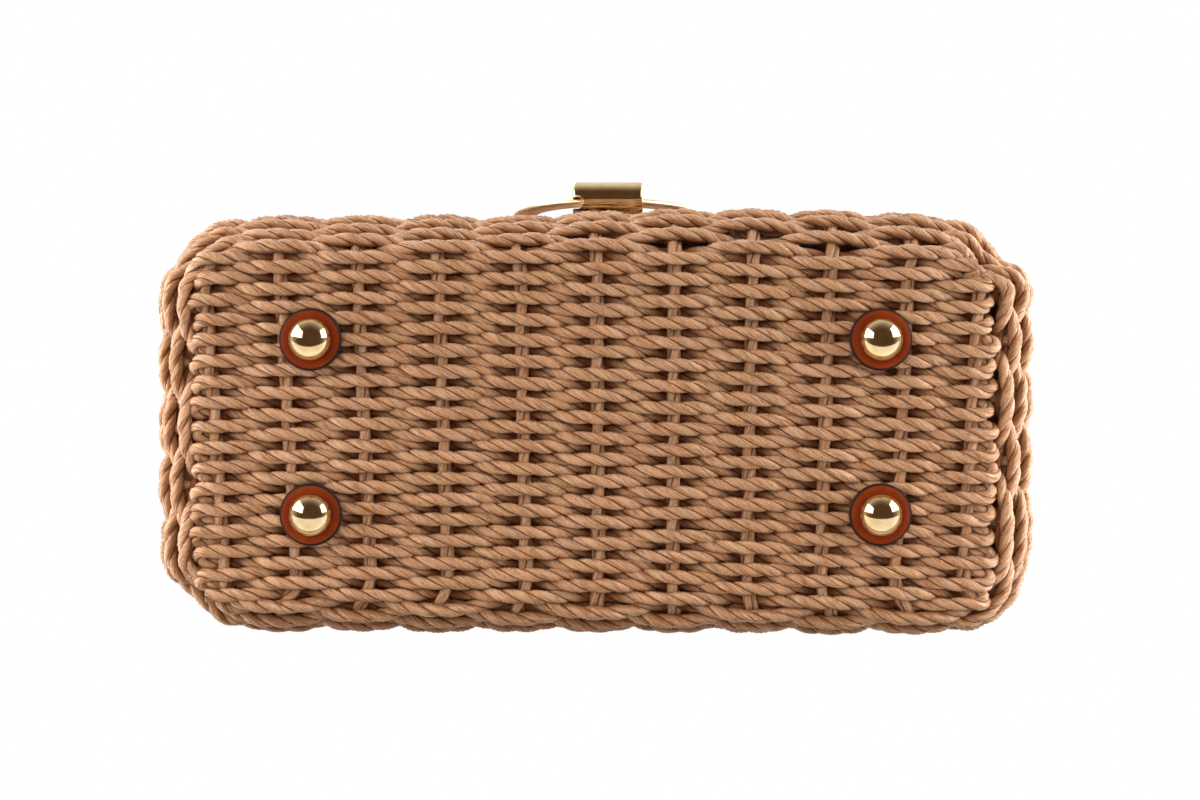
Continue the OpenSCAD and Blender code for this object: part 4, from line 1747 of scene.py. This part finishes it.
@dataclass
class Clasp:
    """Leather tab on the lid with a loop for the ring, the ring itself and its barrel.

    The tab's drape and its loop are places from front to back and heights; sewn counts points of its line.
    The ring is given by its inner and outer radius, and its band ends ring_gap degrees above its centre.
    """

    middle: float = 3.5
    tab_width: float = 25.0
    tab: float = 1.5
    tab_round: float = 0.55
    tab_paint: float = 0.5
    tab_step: float = 0.45
    tip: float = 5.0
    tip_width: float = 0.55
    drape: tuple[tuple[float, float], ...] = (
        (-55.86, 145.7),
        (-55.88, 140.0),
        (-55.95, 135.0),
        (-57.0, 131.6),
        (-57.08, 126.4),
        (-59.1, 122.2),
        (-59.42, 120.0),
        (-59.42, 112.4),
        (-59.0, 110.2),
    )
    loop: tuple[float, float] = (-60.716, 107.95)
    loop_turn: tuple[float, float] = (14.0, -296.0)
    play: float = 0.05
    sewn: tuple[int, int] = (14, 64)
    seam_inset: float = 2.0
    stitch: Stitch = Stitch(2.6, 1.9, 0.24)
    lean: float = 7.14255
    band_lean: float = 5.4
    ring: tuple[float, float] = (22.0, 29.0)
    ring_thick: float = 1.7
    ring_round: float = 0.75
    ring_gap: float = 53.455
    bar_up: float = 20.4864
    bar_half: float = 15.1841
    bar_sunk: float = 0.9
    bar: float = 1.3
    barrel_length: float = 20.8
    barrel_radius: float = 4.7
    barrel_back: float = 0.4
    barrel_rise: float = 5.2
    barrel_drop: float = -24.3
    barrel_ease: float = 0.85
    barrel_draw: float = 0.14
    barrel_full: float = 2.2
    slot_length: float = 3.3
    slot_half: float = 1.8
    slot_back: float = 1.9
    sharp: float = 32.0

    def build(self, palette: Palette, stitcher: Stitcher) -> None:
        """Makes the clasp and hands it over.

        Args:
            palette: The materials.
            stitcher: Sews the seams.
        """
        self._tab(palette, stitcher)
        self._ring(palette)
        self._barrel(palette)

    def _line(self) -> np.ndarray:
        """Middle line of the tab, down the lid and round the bar.

        Returns:
            Evenly spaced points.
        """
        y, z = self.loop
        turn = np.radians(np.linspace(*self.loop_turn, 40))
        reach = self.bar + self.play + self.tab / 2
        round_bar = np.column_stack([y + reach * np.cos(turn), z + reach * np.sin(turn)])
        path = np.vstack([np.array(self.drape), round_bar])
        flat = np.column_stack([np.zeros(len(path)), path])
        line = soften(resample(flat, self.tab_step, False), 3)
        line[:, 0] = self.middle
        return line

    def _tab(self, palette: Palette, stitcher: Stitcher) -> None:
        """Makes the tab with painted edges and a row of stitches near each edge.

        Args:
            palette: The materials.
            stitcher: Sews the seams.
        """
        line = self._line()
        count = len(line)
        side = along_axis(0, count)
        up = np.cross(ahead_of(line), side)
        section = rounded_section(self.tab_width, self.tab, self.tab_round)
        ease = np.clip(np.arange(count) * self.tab_step / self.tip, 0.0, 1.0)
        width = self.tip_width + (1.0 - self.tip_width) * np.sqrt(1.0 - (1.0 - ease) ** 2)
        points, faces = sweep(line, side, up, section, np.column_stack([width, np.ones(count)]))
        edge = np.tile(np.abs(section[:, 0]) > self.tab_width / 2 - self.tab_paint, count).astype(float)
        edge[: len(section)] = 1.0
        tab = mesh_piece("clasp_tab_leather", points, faces, palette.leather, edge)
        hand_over(tab, Body.LID, Slot.LEATHER, ["clasp_tab"])
        outer = up * math.copysign(self.tab / 2 + self.play, -up[5, 1])
        reach = self.tab_width / 2 - self.seam_inset
        seams = [(line + outer + side * reach * k)[slice(*self.sewn)] for k in (-1.0, 1.0)]
        stitches = stitcher.sew("tab_stitches", seams, self.stitch)
        hand_over(stitches, Body.LID, Slot.LEATHER, [])

    def _hang(self, points: np.ndarray, lean: float) -> np.ndarray:
        """Moves points from the ring's own plane to where it hangs, leaning by an angle in degrees.

        Args:
            points: Points about the ring's centre.
            lean: Angle from upright, in degrees.

        Returns:
            The points where the ring hangs.
        """
        angle = math.radians(-lean)
        points = points - np.array([0.0, 0.0, self.bar_up])
        y = points[:, 1] * math.cos(angle) - points[:, 2] * math.sin(angle)
        z = points[:, 1] * math.sin(angle) + points[:, 2] * math.cos(angle)
        return np.column_stack([points[:, 0] + self.middle, y + self.loop[0], z + self.loop[1]])

    def _ring(self, palette: Palette) -> None:
        """Makes the flat band, open at the top where a round bar joins its ends.

        Args:
            palette: The materials.
        """
        inner, outer = self.ring
        turn = np.radians(np.linspace(180.0 - self.ring_gap, 360.0 + self.ring_gap, 121))
        radial = np.column_stack([np.cos(turn), np.zeros(len(turn)), np.sin(turn)])
        section = rounded_section(outer - inner, self.ring_thick, self.ring_round, 6)
        band = sweep(radial * (inner + outer) / 2, radial, along_axis(1, len(turn)), section)
        end = self.bar_half + self.bar_sunk
        x = np.linspace(-end, end, 13)
        count = len(x)
        path = np.column_stack([x, np.zeros(count), np.full(count, self.bar_up)])
        turn = round_angles(24)
        circle = np.column_stack([np.cos(turn), np.sin(turn)]) * self.bar
        shape = np.ones((count, 2))
        shape[[0, -1]] = 0.7
        bar = sweep(path, along_axis(1, count), along_axis(2, count), circle, shape)
        points, faces = join_shells([band, bar])
        piece = mesh_piece("ring_band", self._hang(points, self.band_lean), faces, palette.satin)
        hand_over(piece, Body.RING, Slot.GOLD, ["pull_ring"])

    def _barrel(self, palette: Palette) -> None:
        """Makes the oval barrel on the foot of the ring, with eased ends and its slot.

        Args:
            palette: The materials.
        """
        half = self.barrel_length / 2
        full = half - self.barrel_full
        arc = np.linspace(0.0, np.pi / 2, 7)
        ends = -half + self.barrel_ease * (1.0 - np.cos(arc))
        grow = 1.0 - self.barrel_draw * (1.0 - np.sin(arc))
        x = np.concatenate([[-half], ends, [-full, 0.0, full], -ends[::-1], [half]])
        size = np.concatenate([[0.02], grow, [1.0, 1.0, 1.0], grow[::-1], [0.02]])
        turn = round_angles(64)
        rise = self.barrel_rise / 2 * np.sign(np.sin(turn)) * (np.abs(np.sin(turn)) > 1e-6)
        radius = self.barrel_radius
        section = np.column_stack([radius * np.cos(turn), radius * np.sin(turn) + rise])
        count = len(x)
        path = np.column_stack([x, np.full(count, self.barrel_back), np.full(count, self.barrel_drop)])
        scale = np.column_stack([size, size])
        points, faces = sweep(path, along_axis(1, count), along_axis(2, count), section, scale)
        whole = mesh_piece("ring_barrel_whole", self._hang(points, self.lean), faces, palette.gold)
        points, faces = self._slot()
        cutter = mesh_piece("barrel_slot", self._hang(points, self.lean), faces, palette.gold)
        cut = whole.modifiers.new("slot", "BOOLEAN")
        cut.operation, cut.solver, cut.object = "DIFFERENCE", "EXACT", cutter
        piece = plain_piece(whole, "ring_barrel_polished")
        piece.data.set_sharp_from_angle(angle=math.radians(self.sharp))
        bpy.data.meshes.remove(cutter.data)
        hand_over(piece, Body.RING, Slot.GOLD, ["ring_barrel"])

    def _slot(self) -> tuple[np.ndarray, list]:
        """Shape of the round-ended slot in the left end of the barrel, where the band enters.

        Returns:
            Vertices and faces.
        """
        half = self.slot_half
        end = -self.barrel_length / 2
        beyond, tall = 2.0, 12.0
        turn = np.linspace(-np.pi / 2, np.pi / 2, 17)
        tip = end + self.slot_length - half
        x = np.concatenate([[end - beyond], tip + half * np.cos(turn), [end - beyond]])
        y = np.concatenate([[-half], half * np.sin(turn), [half]]) + self.barrel_back + self.slot_back
        levels = (self.barrel_drop - tall, self.barrel_drop + tall)
        points = np.vstack([np.column_stack([x, y, np.full(len(x), z)]) for z in levels])
        return points, grid_faces(2, len(x))


@dataclass
class Handle:
    """Arched leather grip with a sewn seam, in gold cups on leather washers.

    Widths of the seam are angles round the grip, its swell and cut are shares of the grip's radius, and unsewn
    counts points at each end of its line.
    """

    half: float = 52.0
    grip: float = 5.0
    seat: float = 164.5
    arch: float = 179.1
    seam_width: float = 0.2
    seam_swell: float = 0.03
    seam_cut: float = 0.07
    cut_width: float = 0.07
    flattening: float = 0.02
    paint_width: float = 0.05
    seam_spread: float = 0.36
    unsewn: int = 22
    stitch: Stitch = Stitch(3.2, 2.3, 0.3)
    cup_base: float = 162.1
    cup: float = 6.5
    cup_height: float = 9.0
    flange: float = 8.1
    shank: float = 1.6
    shank_length: float = 9.3
    bore: float = 1.7
    pad: float = 10.0
    pad_base: float = 160.3
    pad_thick: float = 1.8
    sides: int = 64

    def build(self, palette: Palette, stitcher: Stitcher) -> None:
        """Makes the handle and hands it over.

        Args:
            palette: The materials.
            stitcher: Sews the seams.
        """
        self._grip(palette, stitcher)
        for name, x in (("left", -self.half), ("right", self.half)):
            points, faces = lathe(self._cup(), (x, 0.0, self.cup_base), self.sides)
            cup = mesh_piece("handle_cup_polished_" + name, points, faces, palette.gold)
            hand_over(cup, Body.LID, Slot.GOLD, ["handle_cup_" + name])
            seat = (x, 0.0, self.pad_base)
            pad = leather_disc("handle_pad_" + name, self._pad(), seat, self.sides, palette)
            hand_over(pad, Body.LID, Slot.LEATHER, ["handle_washer_" + name])

    def _cup(self) -> list[tuple[float, float]]:
        """Profile of a cup with a flange and a beaded mouth.

        Returns:
            Radius and height, from the lower pole up the outside.
        """
        c, h = self.cup, self.cup_height
        return [
            (self.shank, -self.shank_length),
            (self.shank, 0.0),
            (self.flange - 0.3, 0.0),
            (self.flange, 0.3),
            (self.flange, 1.0),
            (self.flange - 0.4, 1.4),
            (c + 0.5, 1.5),
            (c + 0.1, 1.9),
            (c, 2.4),
            (c, h - 1.5),
            (c - 0.12, h - 1.35),
            (c, h - 1.15),
            (c, h - 0.4),
            (c - 0.3, h - 0.06),
            (c - 0.7, h),
            (self.grip + 0.1, h - 0.3),
            (self.grip + 0.06, 2.5),
            (0.4, 2.4),
        ]

    def _pad(self) -> list[tuple[float, float]]:
        """Profile of a leather washer with rounded edges.

        Returns:
            Radius and height, from the lower pole up the outside.
        """
        r, t = self.pad, self.pad_thick
        return [
            (self.bore, 0.0),
            (r - 0.5, 0.0),
            (r - 0.12, 0.18),
            (r, 0.6),
            (r, t - 0.7),
            (r - 0.16, t - 0.25),
            (r - 0.6, t - 0.02),
            (self.flange, t),
            (self.bore, t),
        ]

    def _path(self) -> np.ndarray:
        """Middle line of the grip, up the left leg, over the arch and down the right leg.

        Returns:
            Points of the line.
        """
        turn = np.linspace(np.pi, 0.0, 100)
        leg = np.linspace(self.seat, self.arch, 14)[:-1]
        side = np.full(len(leg), self.half)
        x = np.concatenate([-side, self.half * np.cos(turn), side])
        z = np.concatenate([leg, self.arch + self.half * np.sin(turn), leg[::-1]])
        return np.column_stack([x, np.zeros(len(x)), z])

    def _grip(self, palette: Palette, stitcher: Stitcher) -> None:
        """Makes the grip with its seam on the inside of the arch, and the stitches beside it.

        Args:
            palette: The materials.
            stitcher: Sews the seams.
        """
        path = self._path()
        across = along_axis(1, len(path))
        inward = np.cross(across, ahead_of(path))
        angle = np.linspace(-np.pi, np.pi, 40, endpoint=False)
        swell = self.seam_swell * np.exp(-((angle / self.seam_width) ** 2))
        cut = self.seam_cut * np.exp(-((angle / self.cut_width) ** 2))
        flat = self.flattening * (1 - np.cos(2 * angle)) / 2
        radius = self.grip * (1.0 + swell - cut - flat)
        section = np.column_stack([radius * np.cos(angle), radius * np.sin(angle)])
        points, faces = sweep(path, inward, across, section)
        edge = np.tile(np.exp(-((angle / self.paint_width) ** 2)), len(path))
        grip = mesh_piece("handle_grip_leather", points, faces, palette.leather, edge)
        hand_over(grip, Body.LID, Slot.LEATHER, ["handle_grip"])
        seams = []
        for k in (-1.0, 1.0):
            offset = inward * math.cos(self.seam_spread) + across * math.sin(self.seam_spread) * k
            seams.append((path + offset * (self.grip + 0.02))[self.unsewn : -self.unsewn])
        stitches = stitcher.sew("handle_stitches", seams, self.stitch)
        hand_over(stitches, Body.LID, Slot.LEATHER, [])


@dataclass(frozen=True)
class Panel:
    """A soft panel of light: middle, direction of its back, width and height, and power in watts.

    One that isn't mirrored keeps out of reflections.
    """

    name: str
    place: tuple[float, float, float]
    away: tuple[float, float, float]
    size: tuple[float, float]
    power: float
    mirrored: bool = True
    colour: Colour = (1.0, 1.0, 1.0)

    def hang(self) -> None:
        """Adds the panel to the scene."""
        data = bpy.data.lights.new(self.name, "AREA")
        data.shape = "RECTANGLE"
        data.size, data.size_y = self.size[0] * MM, self.size[1] * MM
        data.energy = self.power
        data.color = self.colour
        lamp = add_object(self.name, data)
        lamp.location = Vector(self.place) * MM
        lamp.rotation_mode = "QUATERNION"
        lamp.rotation_quaternion = Vector(self.away).to_track_quat("Z", "Y")
        lamp.visible_camera = False
        lamp.visible_glossy = self.mirrored


COOL = (0.8, 1.0, 1.28)
COLD = (0.68, 1.0, 1.6)

# Side panels, a table and cool fill for the underside, then a soft rig above the floor.
PANELS = (
    Panel("side_left", (-600, -360, -350), (-1, 0, 0), (480, 1000), 5.2),
    Panel("side_right", (600, -360, -150), (1, 0, 0), (480, 560), 4.2),
    Panel("table", (0, 64, -73), (0, 1, 0), (1800, 134), 0.7),
    Panel("edge_left", (-700, -60, -40), (-1, 0, 0), (700, 420), 5.0, False, COLD),
    Panel("strip_left", (-200, 0, -22), (-1, 0, 0), (240, 40), 0.22, False, COOL),
    Panel("edge_right", (700, -60, -40), (1, 0, 0), (700, 420), 5.8, False, COLD),
    Panel("strip_right", (200, 0, -22), (1, 0, 0), (240, 40), 0.28, False, COOL),
    Panel("front_fill", (-150, -300, -800), (-0.15, -0.3, -0.8), (1000, 800), 5.8, False),
    Panel("front_wall", (0, -750, 300), (0, -1, 0), (1700, 1000), 11.5, False, COLD),
    Panel("key_above", (-500, -700, 900), (-0.4, -0.55, 0.75), (700, 700), 9.0),
    Panel("fill_above", (800, -300, 700), (0.7, -0.3, 0.6), (700, 700), 4.0),
    Panel("back_above", (-200, 900, 800), (-0.2, 0.75, 0.65), (900, 600), 12.0),
)


@dataclass
class Studio:
    """Camera, pale floor and soft light.

    Scale is in pixels of the photograph a millimetre. The floor fades to white over floor_fade, in metres.
    """

    aim: tuple[float, float, float] = (1.2, -7.4, 7.0)
    tilt: float = 1.4
    distance: float = 600.0
    scale: float = 3.65
    image_width: float = 1200.0
    sensor: float = 36.0
    floor: float = 6000.0
    floor_tint: Colour = (0.82, 0.82, 0.815)
    floor_fade: tuple[float, float] = (0.1, 0.75)
    ambient: float = 0.09
    mirror_low: Colour = (0.09, 0.055, 0.038)
    mirror_high: Colour = (0.86, 0.86, 0.86)

    def build(self) -> None:
        """Sets the camera, the world, the floor and the lights."""
        self._camera()
        self._world()
        self._floor()
        for panel in PANELS:
            panel.hang()

    def _camera(self) -> None:
        """Looks up at the underside, with the front of the bag at the top of the picture."""
        data = bpy.data.cameras.new("camera")
        data.sensor_width = self.sensor
        data.lens = self.scale * self.sensor / self.image_width * self.distance
        data.clip_start, data.clip_end = 0.01, 50.0
        camera = add_object("camera", data)
        angle = math.radians(self.tilt)
        target = Vector(self.aim) * MM
        ahead = Vector((0.0, math.sin(angle), math.cos(angle)))
        right = Vector((1.0, 0.0, 0.0))
        up = right.cross(ahead)
        turn = Matrix((right, up, -ahead)).transposed().to_4x4()
        camera.matrix_world = Matrix.Translation(target - ahead * self.distance * MM) @ turn
        bpy.context.scene.camera = camera

    def _world(self) -> None:
        """White behind the object, dim grey light, and for mirrors a shade that pales from below upward."""
        world = bpy.data.worlds.new("studio")
        world.use_nodes = True
        tree = world.node_tree
        tree.nodes.clear()
        g = Graph(tree)
        seen = g.add("ShaderNodeLightPath", out="Is Camera Ray")
        way = g.add("ShaderNodeTexCoord", out="Generated")
        up = g.add("ShaderNodeSeparateXYZ", None, {0: way}, 2)
        shade = g.mix(up.step(-0.75, 0.6), self.mirror_low, self.mirror_high)
        grey = g.add("ShaderNodeBackground", None, {"Color": (0.9, 0.9, 0.9), "Strength": self.ambient})
        mirror = g.add("ShaderNodeBackground", None, {"Color": shade, "Strength": 1.0})
        white = g.add("ShaderNodeBackground", None, {"Color": (1.0, 1.0, 1.0), "Strength": 1.0})
        mixed = g.add("ShaderNodeMixShader", None, {0: seen.also("Is Glossy Ray"), 1: grey, 2: mirror})
        mixed = g.add("ShaderNodeMixShader", None, {0: seen, 1: mixed, 2: white})
        g.add("ShaderNodeOutputWorld", None, {"Surface": mixed})
        bpy.context.scene.world = world
        bpy.context.scene.view_settings.view_transform = "Standard"
        bpy.context.scene.view_settings.look = "None"

    def _floor(self) -> None:
        """Pale floor that is seen only from above."""
        mesh = bpy.data.meshes.new("floor")
        side = self.floor * MM
        corners = [(-side, -side, 0), (side, -side, 0), (side, side, 0), (-side, side, 0)]
        mesh.from_pydata(corners, [], [(0, 1, 2, 3)])
        floor = add_object("floor", mesh)
        material = bpy.data.materials.new("pale_floor")
        material.use_nodes = True
        tree = material.node_tree
        tree.nodes.clear()
        g = Graph(tree)
        reach = g.add("ShaderNodeVectorMath", {"operation": "LENGTH"}, {0: g.object_point()}, "Value")
        lit = g.add("ShaderNodeBsdfDiffuse", None, {"Color": self.floor_tint})
        glow = g.add("ShaderNodeEmission", None, {"Color": (1.0, 1.0, 1.0), "Strength": 1.0})
        pale = g.add("ShaderNodeMixShader", None, {0: reach.step(*self.floor_fade), 1: lit, 2: glow})
        clear = g.add("ShaderNodeBsdfTransparent")
        below = g.add("ShaderNodeNewGeometry", out="Backfacing")
        shown = g.add("ShaderNodeMixShader", None, {0: below, 1: pale, 2: clear})
        g.add("ShaderNodeOutputMaterial", None, {"Surface": shown})
        mesh.materials.append(material)
        floor.visible_diffuse = floor.visible_glossy = False
        floor.visible_transmission = floor.visible_shadow = False


def finish_nodes(nodes: dict[str, bpy.types.Object], palette: Palette) -> None:
    """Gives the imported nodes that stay, all of them metal, their finish.

    Args:
        nodes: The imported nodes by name.
        palette: The materials.
    """
    for node in nodes.values():
        if node.hide_render:
            continue
        if node.data.materials:
            node.data.materials[0] = palette.gold
        else:
            node.data.materials.append(palette.gold)


def main() -> None:
    """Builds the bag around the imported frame."""
    logging.basicConfig(level=logging.INFO, format="%(name)s %(message)s")
    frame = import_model()
    palette = Palette()
    loom = Loom(palette.cord)
    Studio().build()
    Basket().build(loom)
    Lid().build(loom)
    Feet().build(palette)
    stitcher = Stitcher(palette.thread)
    Clasp().build(palette, stitcher)
    Handle().build(palette, stitcher)
    finish_nodes(frame["nodes"], palette)


if __name__ == "__main__":
    main()
